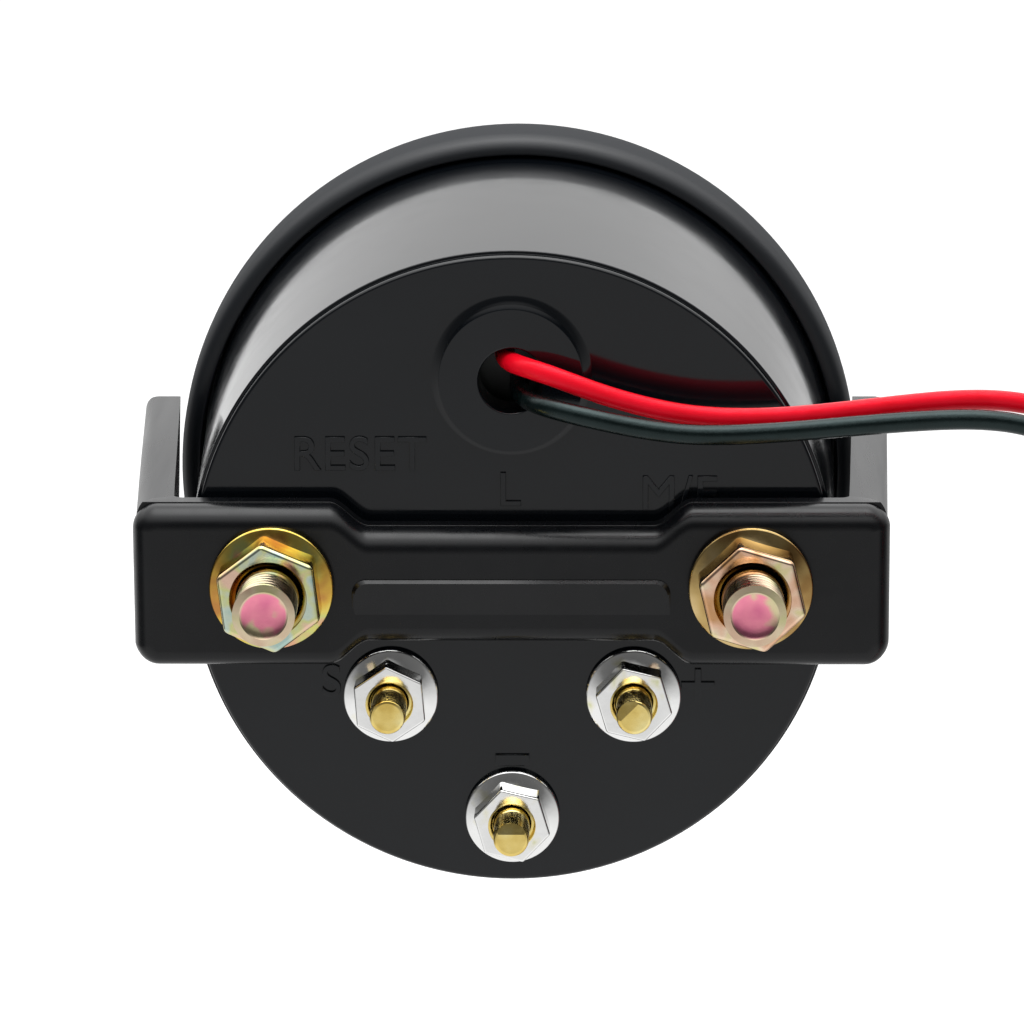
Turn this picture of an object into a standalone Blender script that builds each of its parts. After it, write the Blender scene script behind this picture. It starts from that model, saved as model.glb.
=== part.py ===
"""Panel water temperature gauge with a 60 mm bezel, its U bracket, studs, nuts and lamp leads.

The gauge's axis is the Y axis. The dial faces +Y and the back plate faces -Y. The origin is on the
axis, in the plane where the bezel's rim seats on the panel. Lengths are in metres.
"""

from math import asin, cos, degrees, hypot, pi, radians, sin, tan

import bmesh
import bpy

# Clearance between two pieces that seat on each other, and beside a shaft in its hole.
SEAT = 0.0003
# How far the tool of a hole runs past the piece that it cuts.
CUT_PAST = 0.001
# Faces that meet at more than this angle keep a sharp edge.
SHARP_ANGLE = radians(32.0)

# Housing: a cup that widens from its stepped back edge to the bezel, with a boss round the cable hole.
BODY_DIAMETER = 0.0520
BODY_FLARE = 0.0019
BODY_DEPTH = 0.0395
BODY_BEYOND_RIM = 0.0043
BODY_WALL = 0.0018
BODY_FLOOR = 0.0025
BACK_STEP_HEIGHT = 0.0010
BACK_STEP_INSET = 0.00028
BOSS_DIAMETER = 0.0115
BOSS_HEIGHT = 0.00245
BOSS_ABOVE_AXIS = 0.0161
CABLE_HOLE_DIAMETER = 0.0052
EDGE_ROUND = 0.0003

# Lens, its gasket and the bezel.
LENS_GASKET_THICKNESS = 0.0008
LENS_GASKET_WIDTH = 0.0032
LENS_THICKNESS = 0.0020
BEZEL_RIM_WIDTH = 0.0019
BEZEL_RIM_FLAT = 0.00025
BEZEL_INNER_ROUND = 0.0013
BEZEL_BACK_ROUND = 0.0024
BEZEL_FRONT_ROUND = 0.0030
BEZEL_LIP = 0.0005
BEZEL_LIP_OVERHANG = 0.0039
BEZEL_CREST = 0.0011

# Dial, its trim ring and the light box behind it.
DIAL_BELOW_LENS = 0.0058
DIAL_THICKNESS = 0.0008
TRIM_WALL_BACK = 0.0020
TRIM_WALL_FRONT = 0.0006
TRIM_FOOT = 0.0004
LIGHT_BOX_WALL = 0.0012
DIAL_SCREW_DIAMETER = 0.0014
DIAL_SCREW_LENGTH = 0.0040
DIAL_SCREW_HEAD = 0.0030
DIAL_SCREW_HEAD_HEIGHT = 0.0008

# Pointer. Its sweep is shared evenly either side of straight up.
POINTER_SWEEP = radians(240.0)
POINTER_FROM_TRIM = 0.0028
POINTER_TAIL = 0.0065
POINTER_WIDTH = 0.0017
POINTER_TIP_WIDTH = 0.0007
POINTER_TAIL_WIDTH = 0.0026
POINTER_HUB = 0.0060
POINTER_THICKNESS = 0.0007
POINTER_ABOVE_DIAL = 0.0015
CAP_DIAMETER = 0.0086
CAP_HEIGHT = 0.0020
CAP_SOCKET = 0.0008
CAP_ROUND_SHARE = 0.6
SPINDLE_DIAMETER = 0.0015
SPINDLE_IN_MOVEMENT = 0.0040

# Movement, circuit board and lamps.
BOARD_THICKNESS = 0.0016
MOVEMENT_SIDE_ROOM = 0.0087
MOVEMENT_TOP_ROOM = 0.0107
MOVEMENT_DEPTH = 0.0140
MOVEMENT_CORNER = 0.0030
MOVEMENT_NOSE_DIAMETER = 0.0070
MOVEMENT_NOSE_HEIGHT = 0.0015
DIAL_POST_DIAMETER = 0.0044
DIAL_POST_FROM_SIDE = 0.0030
LAMP_DIAMETER = 0.0029
LAMP_FLANGE = 0.0032
LAMP_HEIGHT = 0.0036
LAMP_FROM_MOVEMENT = 0.0020
LAMP_SIDE = 0.0080

# Every flange nut: the slope of its coned flange, and the chamfer on its hexagon's top.
NUT_CONE_ANGLE = radians(22.0)
NUT_CHAMFER_ANGLE = radians(25.0)
NUT_CHAMFER_SHARE = 0.97
NUT_CORNER_CUT = 0.00005

# Bracket studs and their flange nuts (M5).
MOUNT_FROM_WALL = 0.0010
MOUNT_THREAD = 0.0050
MOUNT_STUD_PROUD = 0.0151
MOUNT_HEAD_DIAMETER = 0.0084
MOUNT_HEAD_THICKNESS = 0.0020
MOUNT_TIP_CHAMFER = 0.00055
MOUNT_NUT_FLATS = 0.0077
MOUNT_NUT_FLANGE_OVERHANG = 0.00055
MOUNT_NUT_HEIGHT = 0.0052
MOUNT_NUT_RIM = 0.00075
MOUNT_NUT_MOUTH_WIDER = 0.0006
MOUNT_NUT_TURN_LEFT = radians(-6.9)
MOUNT_NUT_TURN_RIGHT = radians(-13.5)

# Terminal studs and their flange nuts (M3).
TERMINAL_SIDE = 0.0098
TERMINAL_DROP = 0.0101
TERMINAL_LOW_FROM_WALL = 0.0014
TERMINAL_THREAD = 0.0029
TERMINAL_STUD_PROUD = 0.0080
TERMINAL_HEAD_DIAMETER = 0.0052
TERMINAL_HEAD_THICKNESS = 0.0016
TERMINAL_PIN_DIAMETER = 0.0016
TERMINAL_TIP_CHAMFER = 0.00035
TERMINAL_NUT_FLATS = 0.0055
TERMINAL_NUT_FLANGE_OVERHANG = 0.0007
TERMINAL_NUT_HEIGHT = 0.0040
TERMINAL_NUT_RIM = 0.00055
TERMINAL_NUT_MOUTH_WIDER = 0.0007
TERMINAL_NUT_TURN_SIGNAL = radians(-4.5)
TERMINAL_NUT_TURN_PLUS = radians(-16.5)
TERMINAL_NUT_TURN_MINUS = radians(-16.5)

# Bracket.
BRACKET_WIDER_THAN_BEZEL = 0.0001
BRACKET_BAR = 0.0038
BRACKET_ARM = 0.0035
BRACKET_HEIGHT = 0.0130
BRACKET_BELOW_AXIS = 0.00018
BRACKET_WAIST_TOP = 0.0046
BRACKET_WAIST_BOTTOM = 0.00455
BRACKET_WAIST_HALF = 0.0113
BRACKET_SHOULDER = 0.0032
BRACKET_OFF_PLATE = 0.0011
BRACKET_TIP_BEHIND_RIM = 0.0004
BRACKET_TIP_RISE = 0.0004
BRACKET_SPLAY = radians(3.6)
BRACKET_CORNER = 0.0017
BRACKET_INNER_CORNER = 0.0008
BRACKET_EDGE_ROUND = 0.0019
BRACKET_INNER_EDGE = 0.0002
BRACKET_TIP_CHAMFER = 0.0003
PAD_HALF_WIDTH = 0.01265
PAD_TOP = 0.0005
PAD_DROP = 0.0031
PAD_CORNER = 0.0011
PAD_RISE = 0.0004

# Lamp leads. The routes are the centre lines, chosen by hand: straight out of the cable hole, to the
# right in a shallow sag, then hanging down.
LEAD_DIAMETER = 0.0016
LEAD_POINT_SPACING = 0.0040
LEAD_STRIP_LENGTH = 0.0060
LEAD_STRIP_DIAMETER = 0.0008
RED_ROUTE = [
    (-0.0006, -0.0347, 0.0174), (-0.0006, -0.0380, 0.0174), (-0.0005, -0.0411, 0.0175),
    (0.0007, -0.0438, 0.0177), (0.0034, -0.0451, 0.0171), (0.0072, -0.0452, 0.0158),
    (0.0134, -0.0452, 0.0142), (0.0196, -0.0452, 0.0138), (0.0255, -0.0452, 0.0142),
    (0.0315, -0.0452, 0.0149), (0.0362, -0.0452, 0.0153), (0.0408, -0.0452, 0.0150),
    (0.0452, -0.0452, 0.0134), (0.0485, -0.0452, 0.0101), (0.0500, -0.0452, 0.0050),
    (0.0503, -0.0451, -0.0020), (0.0502, -0.0449, -0.0160), (0.0506, -0.0447, -0.0330),
    (0.0513, -0.0447, -0.0500), (0.0517, -0.0449, -0.0670), (0.0516, -0.0452, -0.0850),
]
BLACK_ROUTE = [
    (0.0006, -0.0347, 0.0149), (0.0006, -0.0380, 0.0149), (0.0006, -0.0415, 0.0149),
    (0.0016, -0.0449, 0.0149), (0.0042, -0.0468, 0.0145), (0.0078, -0.0472, 0.0138),
    (0.0131, -0.0472, 0.0128), (0.0196, -0.0472, 0.0129), (0.0255, -0.0472, 0.0134),
    (0.0315, -0.0472, 0.0139), (0.0360, -0.0472, 0.0141), (0.0400, -0.0472, 0.0138),
    (0.0437, -0.0472, 0.0124), (0.0465, -0.0472, 0.0094), (0.0478, -0.0472, 0.0045),
    (0.0480, -0.0473, -0.0025), (0.0478, -0.0477, -0.0160), (0.0474, -0.0480, -0.0330),
    (0.0471, -0.0482, -0.0500), (0.0472, -0.0481, -0.0670), (0.0476, -0.0479, -0.0830),
]

# Sides of round pieces, by how large they are. A nut's count is a multiple of six.
SIDES_LARGE = 56
SIDES_MEDIUM = 36
SIDES_MOUNT = 30
SIDES_SMALL = 24
SIDES_TERMINAL = 18
SIDES_TINY = 12

# Radii and places that follow from the sizes above.
body_radius = BODY_DIAMETER / 2
bore_radius = body_radius - BODY_WALL
mouth_radius = body_radius + BODY_FLARE
back_plate = -BODY_DEPTH
floor_inside = back_plate + BODY_FLOOR
lens_gasket_back = BODY_BEYOND_RIM + SEAT
lens_gasket_front = lens_gasket_back + LENS_GASKET_THICKNESS
lens_back = lens_gasket_front + SEAT
lens_front = lens_back + LENS_THICKNESS
dial_front = lens_back - DIAL_BELOW_LENS
dial_back = dial_front - DIAL_THICKNESS
board_back = floor_inside + SEAT + MOUNT_HEAD_THICKNESS + SEAT
board_front = board_back + BOARD_THICKNESS
movement_back = board_front + SEAT
movement_front = movement_back + MOVEMENT_DEPTH
pointer_back = dial_front + POINTER_ABOVE_DIAL
pointer_front = pointer_back + POINTER_THICKNESS
cap_back = pointer_front + SEAT
bar_inside = back_plate - BRACKET_OFF_PLATE
bar_outside = bar_inside - BRACKET_BAR
mount_side = bore_radius - MOUNT_FROM_WALL - MOUNT_HEAD_DIAMETER / 2
terminal_low_drop = bore_radius - TERMINAL_LOW_FROM_WALL - TERMINAL_HEAD_DIAMETER / 2
bezel_bore = mouth_radius + SEAT
bezel_radius = bezel_bore + BEZEL_RIM_WIDTH
fitted_radius = bore_radius - SEAT
light_box_bore = fitted_radius - LIGHT_BOX_WALL
movement_side = light_box_bore - MOVEMENT_SIDE_ROOM
movement_rise = light_box_bore - MOVEMENT_TOP_ROOM
dial_post_side = movement_side - DIAL_POST_FROM_SIDE
pointer_reach = fitted_radius - TRIM_WALL_BACK - POINTER_FROM_TRIM

for old in list(bpy.data.objects):
    bpy.data.objects.remove(old, do_unlink=True)


def finish(name, colour, roughness, metallic=0.0, transmission=0.0):
    """A plain surface with one colour."""
    material = bpy.data.materials.new(name)
    material.use_nodes = True
    surface = material.node_tree.nodes["Principled BSDF"]
    surface.inputs["Base Color"].default_value = (*colour, 1.0)
    surface.inputs["Roughness"].default_value = roughness
    surface.inputs["Metallic"].default_value = metallic
    surface.inputs["Transmission Weight"].default_value = transmission
    material.diffuse_color = (*colour, 1.0)
    return material


BLACK_ABS = finish("black_abs", (0.012, 0.012, 0.014), 0.22)
BLACK_NYLON = finish("black_nylon", (0.014, 0.015, 0.018), 0.38)
BLACK_RUBBER = finish("black_rubber", (0.02, 0.02, 0.021), 0.6)
CLEAR_GLASS = finish("clear_glass", (0.95, 0.97, 0.98), 0.03, transmission=1.0)
DIAL_BLACK = finish("dial_black", (0.015, 0.015, 0.016), 0.6)
POINTER_RED = finish("pointer_red", (0.75, 0.03, 0.02), 0.4)
WHITE_ABS = finish("white_abs", (0.85, 0.85, 0.83), 0.5)
MOVEMENT_GREY = finish("movement_grey", (0.25, 0.26, 0.27), 0.5)
BOARD_GREEN = finish("board_green", (0.02, 0.16, 0.07), 0.5)
LAMP_CLEAR = finish("lamp_clear", (0.9, 0.88, 0.7), 0.15)
STEEL = finish("steel", (0.6, 0.6, 0.62), 0.3, metallic=1.0)
ZINC_YELLOW = finish("zinc_yellow", (0.75, 0.6, 0.3), 0.28, metallic=1.0)
BRASS = finish("brass", (0.78, 0.58, 0.2), 0.28, metallic=1.0)
NICKEL = finish("nickel", (0.78, 0.78, 0.8), 0.14, metallic=1.0)
RED_PVC = finish("red_pvc", (0.7, 0.01, 0.015), 0.35)
BLACK_PVC = finish("black_pvc", (0.02, 0.025, 0.027), 0.35)
TINNED_COPPER = finish("tinned_copper", (0.7, 0.69, 0.66), 0.35, metallic=1.0)


def place(name, shape, material, at=(0.0, 0.0, 0.0)):
    """Turn a bmesh into a named object with its faces outward."""
    bmesh.ops.recalc_face_normals(shape, faces=shape.faces)
    mesh = bpy.data.meshes.new(name)
    shape.to_mesh(mesh)
    shape.free()
    mesh.materials.append(material)
    mesh.shade_smooth()
    mesh.set_sharp_from_angle(angle=SHARP_ANGLE)
    piece = bpy.data.objects.new(name, mesh)
    piece.location = at
    bpy.context.scene.collection.objects.link(piece)
    return piece


def arc(centre, radius, start, end, steps):
    """Points of a circular arc, angles in degrees from the first axis."""
    turn = [radians(start + (end - start) * step / steps) for step in range(steps + 1)]
    return [(centre[0] + radius * cos(angle), centre[1] + radius * sin(angle)) for angle in turn]


def turned_shape(outline, sides, ring=False):
    """Spin (radius, y) points about Y. A ring's outline closes on itself; a disc's ends on the axis."""
    shape = bmesh.new()
    corners = [shape.verts.new((radius, y, 0.0)) for radius, y in outline]
    edges = [shape.edges.new(pair) for pair in zip(corners, corners[1:])]
    if ring:
        edges.append(shape.edges.new((corners[-1], corners[0])))
    bmesh.ops.spin(
        shape, geom=corners + edges, cent=(0.0, 0.0, 0.0), axis=(0.0, 1.0, 0.0),
        angle=2 * pi, steps=sides, use_merge=True,
    )
    bmesh.ops.remove_doubles(shape, verts=shape.verts, dist=1e-7)
    return shape


def turned(name, outline, sides, material, at=(0.0, 0.0, 0.0), ring=False):
    """A named piece that is spun from its outline."""
    return place(name, turned_shape(outline, sides, ring), material, at)


def skinned_shape(rings, closed=False):
    """Join rings of equal counts with four-sided faces, and close the two ends or join them."""
    shape = bmesh.new()
    loops = [[shape.verts.new(point) for point in ring] for ring in rings]
    count = len(loops[0])
    pairs = list(zip(loops, loops[1:]))
    if closed:
        pairs.append((loops[-1], loops[0]))
    for near, far in pairs:
        for corner in range(count):
            following = (corner + 1) % count
            shape.faces.new((near[corner], near[following], far[following], far[corner]))
    if not closed:
        shape.faces.new(loops[0])
        shape.faces.new(loops[-1])
    return shape


def prism_shape(outline, near, far):
    """A flat (x, z) outline drawn out from y = near to y = far."""
    return skinned_shape([[(x, y, z) for x, z in outline] for y in (near, far)])


def rounded_box_outline(half_wide, half_high, corner, steps=4):
    """Corner arcs of a rounded rectangle that is centred on the origin."""
    side, rise = half_wide - corner, half_high - corner
    points = arc((side, rise), corner, 0, 90, steps)
    points += arc((-side, rise), corner, 90, 180, steps)
    points += arc((-side, -rise), corner, 180, 270, steps)
    return points + arc((side, -rise), corner, 270, 360, steps)


def boolean(piece, cutter, operation):
    """Keep a live EXACT boolean on the piece, with its tool hidden."""
    cutter.hide_render = True
    cutter.display_type = "WIRE"
    change = piece.modifiers.new(cutter.name, "BOOLEAN")
    change.operation = operation
    change.solver = "EXACT"
    change.object = cutter


def drill(piece, name, x, z, diameter, near, far, sides):
    """A round hole along Y from near to far. Its tool is turned a little, clear of the piece's edges."""
    radius = diameter / 2
    outline = [(0.0, near), (radius, near), (radius, far), (0.0, far)]
    tool = turned(name, outline, sides, STEEL, at=(x, 0.0, z))
    tool.rotation_euler = (0.0, pi / sides / 2, 0.0)
    boolean(piece, tool, "DIFFERENCE")


# Housing. The cup is one turned shell; the boss is joined and the holes are drilled.
step_front = back_plate + BACK_STEP_HEIGHT
step_radius = body_radius - BACK_STEP_INSET
housing = turned(
    "housing",
    [(0.0, back_plate)]
    + arc((step_radius - EDGE_ROUND, back_plate + EDGE_ROUND), EDGE_ROUND, -90, 0, 2)
    + [(step_radius, step_front), (body_radius - EDGE_ROUND / 3, step_front)]
    + [(body_radius, step_front + EDGE_ROUND / 3), (mouth_radius, 0.0)]
    + [(mouth_radius, BODY_BEYOND_RIM), (bore_radius, BODY_BEYOND_RIM)]
    + [(bore_radius, floor_inside + 2 * EDGE_ROUND), (bore_radius - 2 * EDGE_ROUND, floor_inside)]
    + [(0.0, floor_inside)],
    SIDES_LARGE, BLACK_ABS,
)
boss_radius = BOSS_DIAMETER / 2
boss_back = back_plate - BOSS_HEIGHT
boss = turned(
    "boss_tool",
    [(0.0, boss_back)]
    + arc((boss_radius - EDGE_ROUND, boss_back + EDGE_ROUND), EDGE_ROUND, -90, 0, 2)
    + [(boss_radius, back_plate + BODY_FLOOR / 2), (0.0, back_plate + BODY_FLOOR / 2)],
    SIDES_MEDIUM, BLACK_ABS, at=(0.0, 0.0, BOSS_ABOVE_AXIS),
)
boolean(housing, boss, "UNION")
hole_ends = (boss_back - CUT_PAST, floor_inside + CUT_PAST)
drill(housing, "cable_hole_tool", 0.0, BOSS_ABOVE_AXIS, CABLE_HOLE_DIAMETER, *hole_ends, SIDES_SMALL)

mount_places = [("left", -mount_side, MOUNT_NUT_TURN_LEFT), ("right", mount_side, MOUNT_NUT_TURN_RIGHT)]
terminal_places = [
    ("signal", -TERMINAL_SIDE, -TERMINAL_DROP, TERMINAL_NUT_TURN_SIGNAL),
    ("plus", TERMINAL_SIDE, -TERMINAL_DROP, TERMINAL_NUT_TURN_PLUS),
    ("minus", 0.0, -terminal_low_drop, TERMINAL_NUT_TURN_MINUS),
]
mount_hole = MOUNT_THREAD + 2 * SEAT
terminal_hole = TERMINAL_THREAD + 2 * SEAT
for side, x, turn in mount_places:
    drill(housing, f"mount_{side}_tool", x, 0.0, mount_hole, *hole_ends, SIDES_SMALL)
for use, x, z, turn in terminal_places:
    drill(housing, f"terminal_{use}_tool", x, z, terminal_hole, *hole_ends, SIDES_TINY)

# Bezel. Its rim is rounded on both sides of a narrow flat, which seats on the panel.
lip_back = lens_front + SEAT
lip_front = lip_back + BEZEL_LIP
crest = lip_front + BEZEL_CREST
window_radius = bezel_bore - BEZEL_LIP_OVERHANG
rim_half = (BEZEL_RIM_WIDTH - BEZEL_RIM_FLAT) / 2
rim_inside = [
    (bezel_bore + rim_half * (1 + across), BEZEL_INNER_ROUND * (1 + down))
    for across, down in arc((0.0, 0.0), 1.0, -180, -90, 4)
]
rim_outside = [
    (bezel_radius + rim_half * (across - 1), BEZEL_BACK_ROUND * (1 + down))
    for across, down in arc((0.0, 0.0), 1.0, -90, 0, 5)
]
turned(
    "bezel",
    rim_inside + rim_outside
    + arc((bezel_radius - BEZEL_FRONT_ROUND, crest - BEZEL_FRONT_ROUND), BEZEL_FRONT_ROUND, 0, 90, 5)
    + [(window_radius, lip_front), (window_radius, lip_back), (bezel_bore, lip_back)],
    SIDES_LARGE, BLACK_ABS, ring=True,
)

# Lens and the gasket under it.
lens_radius = bezel_bore - SEAT
lens_gasket_bore = lens_radius - LENS_GASKET_WIDTH
turned(
    "lens_gasket",
    [(lens_gasket_bore, lens_gasket_back), (lens_radius, lens_gasket_back)]
    + [(lens_radius, lens_gasket_front), (lens_gasket_bore, lens_gasket_front)],
    SIDES_MEDIUM, BLACK_RUBBER, ring=True,
)
turned(
    "lens",
    [(0.0, lens_back), (lens_radius - EDGE_ROUND, lens_back), (lens_radius, lens_back + EDGE_ROUND)]
    + [(lens_radius, lens_front - EDGE_ROUND), (lens_radius - EDGE_ROUND, lens_front)]
    + [(0.0, lens_front)],
    SIDES_LARGE, CLEAR_GLASS,
)

# Trim ring, dial and light box, all a sliding fit in the housing's bore.
turned(
    "trim_ring",
    [(fitted_radius, dial_front + SEAT), (fitted_radius, lens_back - SEAT)]
    + [(fitted_radius - TRIM_WALL_FRONT, lens_back - SEAT)]
    + [(fitted_radius - TRIM_WALL_BACK, dial_front + SEAT + TRIM_FOOT)]
    + [(fitted_radius - TRIM_WALL_BACK, dial_front + SEAT)],
    SIDES_MEDIUM, BLACK_ABS, ring=True,
)
dial = turned(
    "dial",
    [(0.0, dial_back), (fitted_radius, dial_back), (fitted_radius, dial_front), (0.0, dial_front)],
    SIDES_LARGE, DIAL_BLACK,
)
dial_ends = (dial_back - CUT_PAST, dial_front + CUT_PAST)
drill(dial, "dial_centre_tool", 0.0, 0.0, SPINDLE_DIAMETER + 4 * SEAT, *dial_ends, SIDES_TINY)
screw_hole = DIAL_SCREW_DIAMETER + 2 * SEAT
for side, x in (("left", -dial_post_side), ("right", dial_post_side)):
    drill(dial, f"dial_screw_{side}_tool", x, 0.0, screw_hole, *dial_ends, SIDES_TINY)
turned(
    "light_box",
    [(fitted_radius, movement_back), (fitted_radius, dial_back - SEAT)]
    + [(light_box_bore, dial_back - SEAT), (light_box_bore, movement_back)],
    SIDES_MEDIUM, WHITE_ABS, ring=True,
)

# Circuit board on the stud heads, drilled for the terminals' solder pins.
board = turned(
    "circuit_board",
    [(0.0, board_back), (fitted_radius, board_back), (fitted_radius, board_front), (0.0, board_front)],
    SIDES_MEDIUM, BOARD_GREEN,
)
pin_hole = TERMINAL_PIN_DIAMETER + 2 * SEAT
board_ends = (board_back - CUT_PAST, board_front + CUT_PAST)
for use, x, z, turn in terminal_places:
    drill(board, f"pin_{use}_tool", x, z, pin_hole, *board_ends, SIDES_TINY)

# Movement: a moulded case with a nose round the spindle and two posts that carry the dial.
case_outline = rounded_box_outline(movement_side, movement_rise, MOVEMENT_CORNER)
inner_outline = rounded_box_outline(
    movement_side - EDGE_ROUND, movement_rise - EDGE_ROUND, MOVEMENT_CORNER - EDGE_ROUND
)
case_rings = [
    [(x, y, z) for x, z in outline]
    for outline, y in (
        (case_outline, movement_back),
        (case_outline, movement_front - EDGE_ROUND),
        (inner_outline, movement_front),
    )
]
movement = place("movement_case", skinned_shape(case_rings), MOVEMENT_GREY)
sunk = movement_front - MOVEMENT_DEPTH / 4
nose_front = movement_front + MOVEMENT_NOSE_HEIGHT
nose_radius = MOVEMENT_NOSE_DIAMETER / 2
nose = turned(
    "nose_tool",
    [(0.0, sunk), (nose_radius, sunk), (nose_radius, nose_front - EDGE_ROUND)]
    + [(nose_radius - EDGE_ROUND, nose_front), (0.0, nose_front)],
    SIDES_SMALL, MOVEMENT_GREY,
)
boolean(movement, nose, "UNION")
post_front = dial_back - SEAT
post_radius = DIAL_POST_DIAMETER / 2
post_outline = [(0.0, sunk), (post_radius, sunk), (post_radius, post_front), (0.0, post_front)]
screw_end = dial_back - SEAT - DIAL_SCREW_LENGTH
for side, x in (("left", -dial_post_side), ("right", dial_post_side)):
    post = turned(f"post_{side}_tool", post_outline, SIDES_TINY, MOVEMENT_GREY, at=(x, 0.0, 0.0))
    boolean(movement, post, "UNION")
    drill(
        movement, f"post_{side}_bore_tool", x, 0.0, screw_hole,
        screw_end - SEAT, post_front + CUT_PAST, SIDES_TINY,
    )
spindle_end = nose_front - SPINDLE_IN_MOVEMENT
drill(
    movement, "spindle_bore_tool", 0.0, 0.0, SPINDLE_DIAMETER + 2 * SEAT,
    spindle_end - SEAT, nose_front + CUT_PAST, SIDES_TINY,
)

# Lamps on the board, two above the movement and two below it.
lamp_radius = LAMP_DIAMETER / 2
lamp_front = movement_back + LAMP_HEIGHT
lamp_rise = movement_rise + LAMP_FROM_MOVEMENT + LAMP_FLANGE / 2
lamp_outline = (
    [(0.0, movement_back), (LAMP_FLANGE / 2, movement_back)]
    + [(LAMP_FLANGE / 2, movement_back + EDGE_ROUND), (lamp_radius, movement_back + EDGE_ROUND)]
    + arc((0.0, lamp_front - lamp_radius), lamp_radius, 0, 90, 2)
)
lamp_outline[-1] = (0.0, lamp_front)
lamp_spots = [
    (LAMP_SIDE, lamp_rise), (-LAMP_SIDE, lamp_rise), (-LAMP_SIDE, -lamp_rise), (LAMP_SIDE, -lamp_rise),
]
for number, (x, z) in enumerate(lamp_spots, 1):
    turned(f"lamp_{number}", lamp_outline, SIDES_TINY, LAMP_CLEAR, at=(x, 0.0, z))

# Dial screws.
screw_radius = DIAL_SCREW_DIAMETER / 2
screw_head = DIAL_SCREW_HEAD / 2
head_back = dial_front + SEAT
head_front = head_back + DIAL_SCREW_HEAD_HEIGHT
for side, x in (("left", -dial_post_side), ("right", dial_post_side)):
    turned(
        f"dial_screw_{side}",
        [(0.0, screw_end), (screw_radius, screw_end), (screw_radius, head_back), (screw_head, head_back)]
        + [(screw_head, head_back + EDGE_ROUND), (screw_head - EDGE_ROUND * 2, head_front)]
        + [(0.0, head_front)],
        SIDES_TINY, STEEL, at=(x, 0.0, 0.0),
    )

# Spindle, pointer and cap. They turn together about the gauge's axis, and the pointer is drawn
# pointing up and then turned back to the low end of its sweep.
spindle_radius = SPINDLE_DIAMETER / 2
spindle_front = cap_back + CAP_SOCKET - SEAT
turned(
    "spindle",
    [(0.0, spindle_end), (spindle_radius, spindle_end), (spindle_radius, spindle_front)]
    + [(0.0, spindle_front)],
    SIDES_TINY, STEEL,
)
hub_radius = POINTER_HUB / 2
blade_spread = degrees(asin(POINTER_WIDTH / POINTER_HUB))
tail_spread = degrees(asin(POINTER_TAIL_WIDTH / POINTER_HUB))
pointer_outline = (
    [(POINTER_TIP_WIDTH / 2, pointer_reach), (-POINTER_TIP_WIDTH / 2, pointer_reach)]
    + arc((0.0, 0.0), hub_radius, 90 + blade_spread, 270 - tail_spread, 7)
    + [(-POINTER_TAIL_WIDTH / 2, -POINTER_TAIL), (POINTER_TAIL_WIDTH / 2, -POINTER_TAIL)]
    + arc((0.0, 0.0), hub_radius, 270 + tail_spread, 450 - blade_spread, 7)
)
pointer = place("pointer", prism_shape(pointer_outline, pointer_back, pointer_front), POINTER_RED)
pointer.rotation_euler = (0.0, POINTER_SWEEP / 2, 0.0)
drill(
    pointer, "pointer_bore_tool", 0.0, 0.0, SPINDLE_DIAMETER + 2 * SEAT,
    pointer_back - CUT_PAST, pointer_front + CUT_PAST, SIDES_TINY,
)
cap_radius = CAP_DIAMETER / 2
cap_front = cap_back + CAP_HEIGHT
cap_dome = CAP_HEIGHT * CAP_ROUND_SHARE
cap_crown = [
    (cap_radius - cap_dome + cap_dome * across, cap_front - cap_dome + cap_dome * up)
    for across, up in arc((0.0, 0.0), 1.0, 0, 90, 3)
]
socket_radius = spindle_radius + SEAT
turned(
    "pointer_cap",
    [(0.0, cap_back + CAP_SOCKET), (socket_radius, cap_back + CAP_SOCKET), (socket_radius, cap_back)]
    + [(cap_radius, cap_back)] + cap_crown + [(0.0, cap_front)],
    SIDES_SMALL, BLACK_ABS,
)

# Studs. The heads seat on the floor inside, and the shanks pass through the back plate.
stud_seat = floor_inside + SEAT
mount_radius = MOUNT_THREAD / 2
mount_tip = back_plate - MOUNT_STUD_PROUD
mount_head = stud_seat + MOUNT_HEAD_THICKNESS
for side, x, turn in mount_places:
    turned(
        f"mount_stud_{side}",
        [(0.0, mount_tip), (mount_radius - MOUNT_TIP_CHAMFER, mount_tip)]
        + [(mount_radius, mount_tip + MOUNT_TIP_CHAMFER), (mount_radius, stud_seat)]
        + [(MOUNT_HEAD_DIAMETER / 2, stud_seat), (MOUNT_HEAD_DIAMETER / 2, mount_head), (0.0, mount_head)],
        SIDES_SMALL, ZINC_YELLOW, at=(x, 0.0, 0.0),
    )
terminal_radius = TERMINAL_THREAD / 2
terminal_tip = back_plate - TERMINAL_STUD_PROUD
terminal_head = stud_seat + TERMINAL_HEAD_THICKNESS
pin_radius = TERMINAL_PIN_DIAMETER / 2
pin_end = board_front - SEAT
for use, x, z, turn in terminal_places:
    turned(
        f"terminal_stud_{use}",
        [(0.0, terminal_tip), (terminal_radius - TERMINAL_TIP_CHAMFER, terminal_tip)]
        + [(terminal_radius, terminal_tip + TERMINAL_TIP_CHAMFER), (terminal_radius, stud_seat)]
        + [(TERMINAL_HEAD_DIAMETER / 2, stud_seat), (TERMINAL_HEAD_DIAMETER / 2, terminal_head)]
        + [(pin_radius, terminal_head), (pin_radius, pin_end), (0.0, pin_end)],
        SIDES_TERMINAL, BRASS, at=(x, 0.0, z),
    )


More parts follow.
